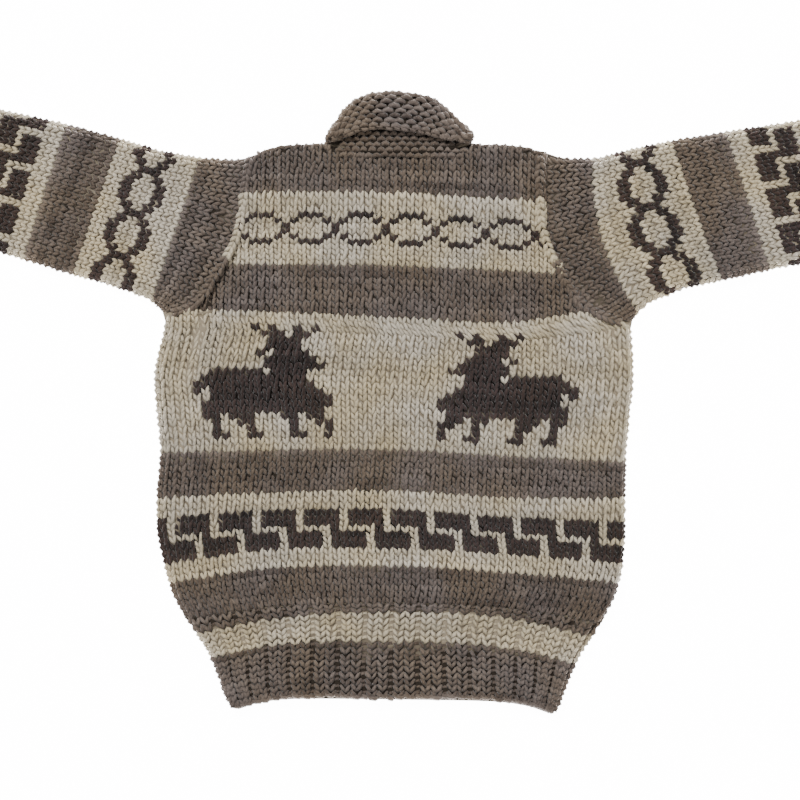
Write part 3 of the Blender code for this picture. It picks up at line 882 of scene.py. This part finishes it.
DRIFT_LENGTH = 30.0 * MM  # length over which the yarn changes shade, about four stitches
FLEECE_LENGTH = 55.0 * MM    # length over which its tint changes, from one fleece to the next
WARM_TINT = (1.0, 0.96, 0.83, 1.0)    # shares of red, green and blue, near white
COOL_TINT = (0.95, 0.97, 1.02, 1.0)
FLECK_SIZE = 1.8 * MM     # drawn coarser than a hair, which would be too fine to show
FIBRE_SIZE = 1.1 * MM     # likewise, for the roughness of the strand's surface


def handspun_wool(name, light, shade):
    """Handspun sheep's wool, undyed.

    Its loose fibres make it matt, and a little sheen keeps its rims from going dark.  It is
    flecked with darker hairs, drifts in shade along the yarn and in tint between fleeces.
    """
    material = bpy.data.materials.new(name)
    material.use_nodes = True
    tree = material.node_tree
    shader = tree.nodes["Principled BSDF"]
    place = add_node(tree, "ShaderNodeTexCoord").outputs["Object"]
    tone = add_node(tree, "ShaderNodeAttribute", {"attribute_name": "stitch_tone"})
    drift = add_node(tree, "ShaderNodeTexNoise", {"Scale": 1.0 / DRIFT_LENGTH, "Detail": 2.0},
                     {"Vector": place})
    flecks = add_node(tree, "ShaderNodeTexNoise", {"Scale": 1.0 / FLECK_SIZE, "Detail": 3.0},
                      {"Vector": place})
    slow = add_node(tree, "ShaderNodeMix", {"data_type": "FLOAT", 0: 0.45},
                    {2: tone.outputs["Fac"], 3: drift.outputs["Fac"]})
    mixed = add_node(tree, "ShaderNodeMix", {"data_type": "FLOAT", 0: 0.45},
                     {2: slow.outputs[0], 3: flecks.outputs["Fac"]})
    spread = add_node(tree, "ShaderNodeMapRange", {"From Min": 0.25, "From Max": 0.75},
                      {"Value": mixed.outputs[0]})
    colour = add_node(tree, "ShaderNodeMix", {"data_type": "RGBA", 6: shade, 7: light},
                      {0: spread.outputs[0]})
    fleece = add_node(tree, "ShaderNodeTexNoise", {"Scale": 1.0 / FLEECE_LENGTH, "Detail": 1.0},
                      {"Vector": place})
    patches = add_node(tree, "ShaderNodeMapRange", {"From Min": 0.35, "From Max": 0.65},
                       {"Value": fleece.outputs["Fac"]})
    tint = add_node(tree, "ShaderNodeMix", {"data_type": "RGBA", 6: WARM_TINT, 7: COOL_TINT},
                    {0: patches.outputs[0]})
    tinted = add_node(tree, "ShaderNodeMix",
                      {"data_type": "RGBA", "blend_type": "MULTIPLY", 0: 1.0},
                      {6: colour.outputs[2], 7: tint.outputs[2]})
    fibre = add_node(tree, "ShaderNodeTexNoise", {"Scale": 1.0 / FIBRE_SIZE, "Detail": 2.0},
                     {"Vector": place})
    bump = add_node(tree, "ShaderNodeBump", {"Strength": 0.45, "Distance": 0.5 * MM},
                    {"Height": fibre.outputs["Fac"]})
    tree.links.new(tinted.outputs[2], shader.inputs["Base Color"])
    tree.links.new(bump.outputs["Normal"], shader.inputs["Normal"])
    shader.inputs["Roughness"].default_value = 0.92
    shader.inputs["Specular IOR Level"].default_value = 0.2
    shader.inputs["Sheen Weight"].default_value = 0.12
    shader.inputs["Sheen Roughness"].default_value = 0.5
    return material


def painted_shade_backing(name, pale, deep):
    """Painted shade: the backing that shows only between the stitches, coloured as the shade there.

    It is quite matt: a paler painted shade behind cream yarn and as dark as a deep shadow behind the
    others.
    """
    material = bpy.data.materials.new(name)
    material.use_nodes = True
    tree = material.node_tree
    shader = tree.nodes["Principled BSDF"]
    place = add_node(tree, "ShaderNodeTexCoord").outputs["Object"]
    share = add_node(tree, "ShaderNodeAttribute", {"attribute_name": "painted_gap_lightness"})
    flecks = add_node(tree, "ShaderNodeTexNoise", {"Scale": 1.0 / FLECK_SIZE, "Detail": 3.0},
                      {"Vector": place})
    colour = add_node(tree, "ShaderNodeMix", {"data_type": "RGBA", 6: deep, 7: pale},
                      {0: share.outputs["Fac"]})
    bump = add_node(tree, "ShaderNodeBump", {"Strength": 0.6, "Distance": 0.8 * MM},
                    {"Height": flecks.outputs["Fac"]})
    tree.links.new(colour.outputs[2], shader.inputs["Base Color"])
    tree.links.new(bump.outputs["Normal"], shader.inputs["Normal"])
    shader.inputs["Roughness"].default_value = 1.0
    shader.inputs["Specular IOR Level"].default_value = 0.1
    return material


def wools():
    """The materials of the yarns and of the backing behind them, which carries painted shade, made
    once.
    """
    colours = bpy.context.scene.wool_colours
    made = bpy.data.materials
    found = {}
    for key in ("cream", "grey", "dark"):
        name = f"handspun_{key}_wool"
        found[key] = made.get(name) or handspun_wool(
            name, getattr(colours, key), getattr(colours, f"{key}_shade"))
    # The backing's colours are painted shade: mid-brown behind cream yarn, near black behind the
    # rest.
    found["backing"] = made.get("backing_with_painted_shade") or painted_shade_backing(
        "backing_with_painted_shade", pale=linear("#857A69"), deep=linear("#1B1613"))
    return found


# ---- shells -------------------------------------------------------------------------
# How pale the backing's painted shade is behind each yarn.
PAINTED_SHADE_LIGHTNESS = {"cream": 1.0, "grey": 0.06, "dark": 0.0}
# Bare walls, with no stitches near to shade them, get little painted shade.
BARE_REACH = 3.8 * MM     # a wall is bare where it is farther than this from any stitch,
BARE_SHARE = 0.55         # and there it is as pale as grey wool
WALL_LEAN = 0.85          # a wall's outward direction rises or falls by less than this
SEAM_OVERLAP = 0.35       # how far a shell reaches over its seams, as a share of its inset
SIDE_SHARE = 0.45         # how far it lies inside the solid's sides, likewise
WELD_DISTANCE = 0.01 * MM    # corners nearer to each other than this are made one
EDGE_STEP = 1.0 * MM      # how far in from an edge its thickness is measured
FACE_STEP = 0.05 * MM     # how far inside its face that measurement starts
THINNEST_SHELL = 0.6 * MM


def shell_drop(tree, point, normal, inset):
    """How far a shell's face may sink into a solid without reaching its other face."""
    up = math.copysign(1.0, normal.z)
    start = point - Vector((normal.x, normal.y, 0.0)) * EDGE_STEP
    start.z -= up * FACE_STEP
    depth = tree.ray_cast(start, Vector((0.0, 0.0, -up)))[3] or inset
    return min(inset, max((depth - THINNEST_SHELL) / 2, 0.0))


def wool_shell(node, samples, material):
    """A thin closed shell on a plain solid's form, its upper layer creased as the cloth is.

    It lies inside the solid's faces, but reaches over the seams, and carries the painted
    shade between the stitches.  samples are pairs of a point on the cloth and how light that
    painted shade is there.
    """
    shell = bmesh.new()
    shell.from_mesh(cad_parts[node].data)
    bmesh.ops.remove_doubles(shell, verts=shell.verts, dist=WELD_DISTANCE)
    bmesh.ops.subdivide_edges(shell, edges=shell.edges, cuts=1, use_grid_fill=True)
    bmesh.ops.triangulate(shell, faces=shell.faces)
    shell.normal_update()
    inset = bpy.context.scene.yarn_sizes.shell_inset
    solid = skin_of(node).tree
    normals = [vertex.normal.copy() for vertex in shell.verts]
    for vertex, normal in zip(shell.verts, normals):
        at_seam = seam_distance(node, vertex.co) < SEAM_REACH
        share = -SEAM_OVERLAP if at_seam else SIDE_SHARE
        inward = Vector((normal.x, normal.y, 0.0)) * inset * share
        drop = shell_drop(solid, vertex.co, normal, inset)
        inward.z = math.copysign(min(abs(normal.z) * 2.0, 1.0), normal.z) * drop
        lifted = float(smooth(*UPPER_LAYER, vertex.co.z))
        rise = float(crease_rise(vertex.co.x, vertex.co.y)) * lifted
        vertex.co -= inward
        vertex.co.z += rise
    mesh = bpy.data.meshes.new(f"{node}_shell")
    shell.to_mesh(mesh)
    shell.free()
    # How light the backing's painted shade is at each corner: that of the nearest stitch, lifted on
    # bare walls.
    tree = KDTree(len(samples))
    for place, (point, _) in enumerate(samples):
        tree.insert(point, place)
    tree.balance()
    shares = []
    for vertex, normal in zip(mesh.vertices, normals):
        _, place, away = tree.find(vertex.co)
        bare = abs(normal.z) < WALL_LEAN and away > BARE_REACH
        shares.append(max(samples[place][1], BARE_SHARE) if bare else samples[place][1])
    attribute = mesh.attributes.new("painted_gap_lightness", "FLOAT", "POINT")
    attribute.data.foreach_set("value", shares)
    piece = add_piece(mesh, material)
    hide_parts(node)
    return piece


# ---- knitting the panels ------------------------------------------------------------
def knit_body(node, side, with_deer, blocked=()):
    """Stocking stitch over the back or front, except where blocked solids cover it."""
    sizes = bpy.context.scene.yarn_sizes
    skin = skin_of(node)
    cloth = body_cloth(node, BODY_COURSES, BODY_STITCHES, side, BODY_SQUEEZE)
    knitting = Knitting(node)
    sink = sizes.sink if side > 0 else sizes.under_sink
    rows = BODY_COURSES[-1].row
    tones = row_tones(knitting.chance, rows, BODY_STITCHES + 2)
    face, walls, samples = [], [], []
    for row in range(rows):
        for column in range(BODY_STITCHES + 2):
            stitch = min(max(column - 1, 0), BODY_STITCHES - 1)
            spot = cloth.middle(column, 1.0, row)
            on_wall = column in (0, BODY_STITCHES + 1)
            yarn = yarn_of(BODY_BANDS, stitch, row, BODY_REPEAT, with_deer)
            if on_wall:
                kept = spot[1] < UNDERARM
            else:
                head = cloth.middle(column, 1.0, row + 0.5)
                kept = skin.covers(spot, side) and skin.covers(head, side)
                kept = kept and not any(other.covers(spot, side) for other in blocked)
            if kept:
                kind = walls if on_wall else face
                kind.append((yarn, column, 1.0, row, 1.0, 0.0, tones[row, column]))
                samples.append((spot, PAINTED_SHADE_LIGHTNESS[yarn]))
    knitting.lay(cloth, face, LEFT_LEG, sizes.radius, sink)
    knitting.lay(cloth, face, RIGHT_LEG, sizes.radius * RIGHT_LEG_THICK, sink)
    knitting.lay_even(cloth, walls, sizes.radius, sink)
    return knitting, samples


def rib_places(stitches, first=0):
    """Start, width and whether it is purl for each stitch across a k2 p1 rib."""
    knit_width = (RIB - PURL_WIDTH) / (RIB - 1)
    places = []
    for stitch in range(stitches):
        part = stitch % RIB
        start = stitch - part + first + part * knit_width
        purl = part == PURL_PLACE
        places.append((start, PURL_WIDTH if purl else knit_width, purl))
    return places


def knit_rib(knitting, cloth, bands, rows, places, sink):
    """Two knit, one purl; returns the shell's samples."""
    radius = bpy.context.scene.yarn_sizes.radius
    tones = row_tones(knitting.chance, rows, len(places))
    knits, purls, samples = [], [], []
    for row in range(rows):
        yarn = yarn_of(bands, 0, row)
        for stitch, (start, width, purl) in enumerate(places):
            tone = tones[row, stitch]
            # A sunk purl stitch gets painted shade: its tone is cut to a share of the usual.
            if purl:
                purls.append((yarn, start, width, row, 1.0, -PURL_SINK, PURL_PAINTED_SHADE * tone))
            else:
                knits.append((yarn, start, width, row, 1.0, KNIT_RISE, tone))
            samples.append((cloth.middle(start, width, row), PAINTED_SHADE_LIGHTNESS[yarn]))
    knitting.lay_even(cloth, knits, radius, sink)
    knitting.lay(cloth, purls, PURL_BUMP, radius * PURL_THICK, sink)
    return samples


def finish_panel(node, samples):
    """Put the shell under a panel's yarn.
    """
    shell = wool_shell(node, samples, wools()["backing"])


class SWEATER_OT_back(bpy.types.Operator):
    """Knit the back with its bands, chain, meander and two deer"""
    bl_idname = "sweater.back"
    bl_label = "Back"

    def execute(self, context):
        knitting, samples = knit_body("back", 1, True)
        add_armhole_ropes(knitting, "back", 1)
        add_shoulder_beads(knitting)
        yarn = knitting.cast_off(wools(), "body_wool")
        finish_panel("back", samples)
        return {"FINISHED"}


class SWEATER_OT_front(bpy.types.Operator):
    """Knit the front, which lies face down, with its bands but no deer"""
    bl_idname = "sweater.front"
    bl_label = "Front"

    def execute(self, context):
        lapels = [skin_of("collar_left"), skin_of("collar_right")]
        knitting, samples = knit_body("front", -1, False, lapels)
        add_armhole_ropes(knitting, "front", -1)
        yarn = knitting.cast_off(wools(), "body_wool")
        finish_panel("front", samples)
        return {"FINISHED"}


def add_armhole_ropes(knitting, node, side):
    """The raised edge along each armhole, a chain of large stitches."""
    sizes = bpy.context.scene.yarn_sizes
    skin = skin_of(node)
    for sleeve, way in (("sleeve_left", -1), ("sleeve_right", 1)):
        line = armhole_line(sleeve, way, ROPE_STITCHES + 1)
        ahead = unit(np.gradient(line, axis=0))
        inward = np.stack([ahead[:, 1], -ahead[:, 0]], axis=-1)
        if inward[0, 0] * way > 0.0:
            inward = -inward
        innermost = line + inward * ROPE_LANES[-1]
        height = skin.heights(innermost[:, 0], innermost[:, 1], side)[:, None]
        lanes = [np.concatenate([line + inward * lane, height], axis=-1) for lane in ROPE_LANES]
        cloth = Cloth(np.stack(lanes, axis=1), side)
        stitches = []
        for row in range(ROPE_STITCHES):
            cream = ROPE_CREAM[0] < line[row, 1] < ROPE_CREAM[1] and side > 0
            tone = float(knitting.chance.uniform(*ROPE_TONES))
            stitches.append(("cream" if cream else "grey", 0.0, 1.0, row, 1.0, ROPE_RISE, tone))
        sink = sizes.sink if side > 0 else sizes.under_sink + ROPE_RISE * MM
        knitting.lay_even(cloth, stitches, sizes.radius * ROPE_THICK, sink)


def add_shoulder_beads(knitting):
    """The bound-off edge that joins the shoulders: a chain of beads along the top."""
    sizes = bpy.context.scene.yarn_sizes
    skin = skin_of("back")
    places, _, highest = skin.reach(0)
    for start, end in SHOULDERS:
        count = int((end - start) / SHOULDER_BEAD)
        x = np.linspace(start, end, 2 * count + 1) * MM
        rows = []
        for edge in SHOULDER_EDGES:
            y = np.interp(x, places, highest) - edge
            rows.append(np.stack([x, y, skin.heights(x, y, 1)], axis=-1))
        beads = [("grey", stitch, 1.0, 0, 1.0, SHOULDER_RISE,
                  float(knitting.chance.uniform(*BEAD_TONES))) for stitch in range(count)]
        thick = sizes.radius * SHOULDER_THICK
        knitting.lay(Cloth(np.array(rows), 1), beads, PURL_BUMP, thick, sizes.sink)


class SWEATER_OT_hem(bpy.types.Operator):
    """Knit the ribbed hem of the back and the front, with a thick cast-on edge"""
    bl_idname = "sweater.hem"
    bl_label = "Hem ribs"

    def execute(self, context):
        sizes = context.scene.yarn_sizes
        for node, side in (("hem_rib_back", 1), ("hem_rib_front", -1)):
            cloth = body_cloth(node, HEM_COURSES, RIB_STITCHES, side, HEM_SQUEEZE)
            knitting = Knitting(node)
            places = rib_places(RIB_STITCHES, 1)
            places = [(0.0, 1.0, False)] + places + [(RIB_STITCHES + 1.0, 1.0, False)]
            sink = sizes.sink if side > 0 else sizes.under_sink + KNIT_RISE * MM
            samples = knit_rib(knitting, cloth, HEM_BANDS, HEM_COURSES[-1].row, places, sink)
            beads = [("grey", start, width, 0, 1.0, HEM_BEAD_RISES[purl],
                      float(knitting.chance.uniform(*BEAD_TONES))) for start, width, purl in places]
            knitting.lay(cloth, beads, CAST_ON_BEAD, sizes.radius * HEM_BEAD_THICK, sink)
            yarn = knitting.cast_off(wools(), "rib_wool")
            finish_panel(node, samples)
        return {"FINISHED"}


class SWEATER_OT_sleeves(bpy.types.Operator):
    """Knit the sleeves all the way round, from the armholes down"""
    bl_idname = "sweater.sleeves"
    bl_label = "Sleeves"

    def execute(self, context):
        for node, side, courses, repeat, area in (
                ("sleeve_left", -1, LEFT_SLEEVE, LEFT_SLEEVE_REPEAT, 0.128),
                ("sleeve_right", 1, RIGHT_SLEEVE, RIGHT_SLEEVE_REPEAT, 0.136)):
            armhole = armhole_line(node, side, ARMHOLE_POINTS)
            cloth = tube_cloth(node, courses, courses[-1].row, SLEEVE_FACE, armhole)
            upper, under, samples = knit_sleeve(node, cloth, courses[-1].row, repeat)
            yarn = upper.cast_off(wools(), "sleeve_wool") + under.cast_off(wools(), "sleeve_wool")
            finish_panel(node, samples)
        return {"FINISHED"}


def knit_sleeve(node, cloth, rows, repeat):
    """Stocking stitch round a sleeve, its underside gathered apart from its upper face."""
    sizes = bpy.context.scene.yarn_sizes
    upper, under = Knitting(node), Knitting(f"{node}_under")
    around = 2 * (SLEEVE_FACE + FOLD_STITCHES)
    tones = row_tones(upper.chance, rows, around)
    above, below, samples = [], [], []
    for row in range(rows):
        for stitch in range(around):
            yarn = yarn_of(SLEEVE_BANDS, stitch, row, repeat)
            beneath = SLEEVE_FACE + FOLD_STITCHES <= stitch < around - FOLD_STITCHES
            kind = below if beneath else above
            kind.append((yarn, stitch, 1.0, row, 1.0, 0.0, tones[row, stitch]))
            samples.append((cloth.middle(stitch, 1.0, row), PAINTED_SHADE_LIGHTNESS[yarn]))
    upper.lay_even(cloth, above, sizes.radius, sizes.sink)
    under.lay_even(cloth, below, sizes.radius, sizes.under_sink)
    return upper, under, samples


class SWEATER_OT_cuffs(bpy.types.Operator):
    """Knit the ribbed cuffs all the way round"""
    bl_idname = "sweater.cuffs"
    bl_label = "Cuffs"

    def execute(self, context):
        for node, courses in (("cuff_left", LEFT_CUFF), ("cuff_right", RIGHT_CUFF)):
            cloth = tube_cloth(node, courses, CUFF_ROWS, CUFF_FACE)
            knitting = Knitting(node)
            places = rib_places(2 * (CUFF_FACE + FOLD_STITCHES))
            sink = context.scene.yarn_sizes.under_sink + KNIT_RISE * MM
            samples = knit_rib(knitting, cloth, CUFF_BANDS, CUFF_ROWS, places, sink)
            yarn = knitting.cast_off(wools(), "rib_wool")
            finish_panel(node, samples)
        return {"FINISHED"}


def knit_garter(knitting, cloth, rows, stitches, radius, sink):
    """Ridges of garter stitch: bumps in rows, every other row moved by half a bump."""
    tones = row_tones(knitting.chance, rows, stitches + 1)
    bumps, samples = [], []
    for row in range(rows):
        for stitch in range(stitches + row % 2):
            start = stitch - 0.5 * (row % 2)
            ends = cloth.place(np.full(2, start + 0.5), np.array([row, row + 1.0]), np.zeros(2))[0]
            tall = max(math.ceil(LEAST_RIDGE / np.linalg.norm(ends[1] - ends[0])), 1)
            if row % tall:
                continue
            bumps.append(("grey", start, 1.0, row, float(tall), 0.0, tones[row, stitch]))
            samples.append((ends.mean(axis=0), PAINTED_SHADE_LIGHTNESS["grey"]))
    knitting.lay(cloth, bumps, GARTER_BUMP, radius, sink)
    return samples


class SWEATER_OT_collar(bpy.types.Operator):
    """Knit the shawl collar in garter stitch: its turned-down back and its front halves"""
    bl_idname = "sweater.collar"
    bl_label = "Collar"

    def execute(self, context):
        sizes = context.scene.yarn_sizes
        radius, sink = sizes.radius, sizes.sink
        knitting = Knitting("collar_back")
        fall, stand = fall_cloth(), stand_cloth()
        samples = knit_garter(knitting, fall, COLLAR_ROWS, COLLAR_STITCHES, radius * FALL_THICK, sink)
        samples += knit_garter(
            knitting, stand, STAND_ROWS, STAND_STITCHES, radius * STAND_THICK, sink)
        beads = [("grey", bead * COLLAR_BEAD, COLLAR_BEAD, 0, 1.0, COLLAR_BEAD_RISE,
                  float(knitting.chance.uniform(*COLLAR_BEAD_TONES)))
                 for bead in range(int(COLLAR_STITCHES / COLLAR_BEAD))]
        knitting.lay(fall, beads, CAST_ON_BEAD, radius * COLLAR_BEAD_THICK, sink)
        yarn = knitting.cast_off(wools(), "collar_wool")
        finish_panel("collar_back", samples)
        for node in ("collar_left", "collar_right"):
            knitting = Knitting(node)
            lapel = lapel_cloth(node)
            samples = knit_garter(
                knitting, lapel, LAPEL_ROWS, LAPEL_STITCHES, radius, sizes.under_sink)
            yarn = knitting.cast_off(wools(), "collar_wool")
            finish_panel(node, samples)
        return {"FINISHED"}


def fall_cloth():
    """Cloth over the turned-down part of the collar, from its lower edge over the fold."""
    skin = skin_of("collar_back")
    table = np.array(COLLAR_STRIPS) * MM
    even = np.linspace(0.0, 1.0, len(table))
    places = np.linspace(0.0, 1.0, 2 * COLLAR_STITCHES + 1)
    strips = np.stack([np.interp(places, even, table[:, column]) for column in range(4)], axis=-1)
    lattice = []
    for strip in strips:
        edge, fold = strip[:2], strip[2:]
        way = unit(fold - edge)
        length = np.linalg.norm(fold - edge)
        # On the short strips of the tips both gaps would meet, so they are held apart.
        foot = min(EDGE_GAP / length, TIP_SHARES[0])
        head = max(1.0 - BEND_GAP / length, TIP_SHARES[1])
        flat = edge + (fold - edge) * np.linspace(foot, head, STRIP_PLACES)[:, None]
        height = skin.heights(flat[:, 0], flat[:, 1], 1)
        level = np.concatenate([flat, height[:, None]], axis=-1)
        middle = np.array([*(fold - way * BEND_DEPTH[0]), height[-1] - BEND_DEPTH[1]])
        turn = np.radians(BEND_ANGLES)[:, None]
        guess = middle + BEND_PROBE * (np.cos(turn) * np.array([*way, 0.0])
                                       + np.sin(turn) * np.array([0.0, 0.0, 1.0]))
        line = np.concatenate([level, skin.snap(guess)])
        lattice.append(evenly(line, COLLAR_ROWS + 1))
    return Cloth(np.array(lattice).transpose(1, 0, 2), 1, (2, COLLAR_STITCHES))


def stand_cloth():
    """Cloth over what shows of the collar's stand, between the neck seam and the fall."""
    x = np.linspace(*STAND_ENDS, 2 * STAND_STITCHES + 1)
    rows = []
    for row in range(STAND_ROWS + 1):
        y = STAND_FOOT + STAND_ROW * row + 0 * x
        rows.append(np.stack([x, y, np.interp(y, *STAND_SLOPE)], axis=-1))
    return Cloth(np.array(rows), 1)


def lapel_cloth(node):
    """Cloth under one front half of the collar, rows across its width."""
    skin = skin_of(node)
    places, lowest, highest = skin.reach(1)
    y = np.linspace(skin.low[1] + LAPEL_FOOT_INSET, skin.high[1] - LAPEL_INSET, LAPEL_ROWS + 1)
    left = np.interp(y, places, lowest) + LAPEL_INSET
    right = np.interp(y, places, highest) - LAPEL_INSET
    share = np.linspace(0.0, 1.0, 2 * LAPEL_STITCHES + 1)[None, :]
    x = left[:, None] + (right - left)[:, None] * share
    grid_y = y[:, None] + 0 * share
    return Cloth(np.stack([x, grid_y, skin.heights(x, grid_y, -1)], axis=-1), -1)


# ---- the stage ----------------------------------------------------------------------
FLOOR_DROP = 0.5 * MM     # how far the floor lies under the sweater
LAMP_SIZE = 1.6
KEY_PLACE = (-1.8, 3.0, 4.0)
FILL_PLACE = (1.5, -0.8, 1.9)
FILL_SHARE = 0.08         # power of the fill light, as a share of the key's
SKY_STRENGTH = 0.42
CLOTH_TOP = 12.0 * MM     # height of the cloth at which the view has its width
VIEW_MIDDLE = (-3.5 * MM, -15.5 * MM)


def white_paper():
    """Uncoated white paper: quite matt, and lit so evenly that hardly a shadow shows on it."""
    paper = bpy.data.materials.new("matt_white_paper")
    paper.use_nodes = True
    shader = paper.node_tree.nodes["Principled BSDF"]
    shader.inputs["Base Color"].default_value = linear("#FFFFFF")
    shader.inputs["Roughness"].default_value = 1.0
    shader.inputs["Emission Color"].default_value = linear("#FFFFFF")
    shader.inputs["Emission Strength"].default_value = bpy.context.scene.stage_sizes.floor_glow
    return paper


def add_lamp(name, place, power):
    """A soft square light that faces the sweater's middle."""
    lamp = bpy.data.lights.new(name, "AREA")
    lamp.energy = power
    lamp.size = LAMP_SIZE
    light = bpy.data.objects.new(name, lamp)
    light.location = place
    light.rotation_euler = (-Vector(place)).to_track_quat("-Z", "Y").to_euler()
    bpy.context.scene.collection.objects.link(light)


class SWEATER_OT_stage(bpy.types.Operator):
    """Set a pale floor, soft light and a camera that looks straight down"""
    bl_idname = "sweater.stage"
    bl_label = "Stage"

    def execute(self, context):
        sizes = context.scene.stage_sizes
        half = sizes.floor_size / 2
        mesh = bpy.data.meshes.new("pale_floor")
        mesh.from_pydata([(-half, -half, 0), (half, -half, 0), (half, half, 0), (-half, half, 0)],
                         [], [(0, 1, 2, 3)])
        mesh.materials.append(white_paper())
        floor = bpy.data.objects.new("pale_floor", mesh)
        floor.location.z = -FLOOR_DROP
        context.scene.collection.objects.link(floor)
        add_lamp("key", KEY_PLACE, sizes.key_power)
        add_lamp("fill", FILL_PLACE, sizes.key_power * FILL_SHARE)
        world = bpy.data.worlds.new("soft_daylight")
        world.use_nodes = True
        background = world.node_tree.nodes["Background"]
        background.inputs["Color"].default_value = linear("#FFFFFF")
        background.inputs["Strength"].default_value = SKY_STRENGTH
        context.scene.world = world
        lens = bpy.data.cameras.new("overhead")
        lens.lens = sizes.lens
        camera = bpy.data.objects.new("overhead", lens)
        height = sizes.view_width * sizes.lens / lens.sensor_width + CLOTH_TOP
        camera.location = (*VIEW_MIDDLE, height)
        context.scene.collection.objects.link(camera)
        context.scene.camera = camera
        return {"FINISHED"}


class SWEATER_PT_panel(bpy.types.Panel):
    """Buttons for every piece of the sweater"""
    bl_idname = "SWEATER_PT_panel"
    bl_label = "Cowichan sweater"
    bl_space_type = "VIEW_3D"
    bl_region_type = "UI"
    bl_category = "Sweater"

    def draw(self, context):
        scene = context.scene
        for group in (scene.wool_colours, scene.yarn_sizes, scene.stage_sizes):
            for name in group.__annotations__:
                self.layout.prop(group, name)
        for operator in OPERATORS:
            self.layout.operator(operator.bl_idname)


OPERATORS = (
    SWEATER_OT_front, SWEATER_OT_back, SWEATER_OT_hem, SWEATER_OT_sleeves, SWEATER_OT_cuffs,
    SWEATER_OT_collar, SWEATER_OT_stage,
)
SETTINGS = (WoolColours, YarnSizes, StageSizes)


def register():
    for kind in SETTINGS + OPERATORS + (SWEATER_PT_panel,):
        bpy.utils.register_class(kind)
    bpy.types.Scene.wool_colours = PointerProperty(type=WoolColours)
    bpy.types.Scene.yarn_sizes = PointerProperty(type=YarnSizes)
    bpy.types.Scene.stage_sizes = PointerProperty(type=StageSizes)


def unregister():
    del bpy.types.Scene.stage_sizes
    del bpy.types.Scene.yarn_sizes
    del bpy.types.Scene.wool_colours
    for kind in reversed(SETTINGS + OPERATORS + (SWEATER_PT_panel,)):
        bpy.utils.unregister_class(kind)


def main():
    register()
    for operator in OPERATORS:
        category, name = operator.bl_idname.split(".")
        getattr(getattr(bpy.ops, category), name)()


if __name__ == "__main__":
    main()
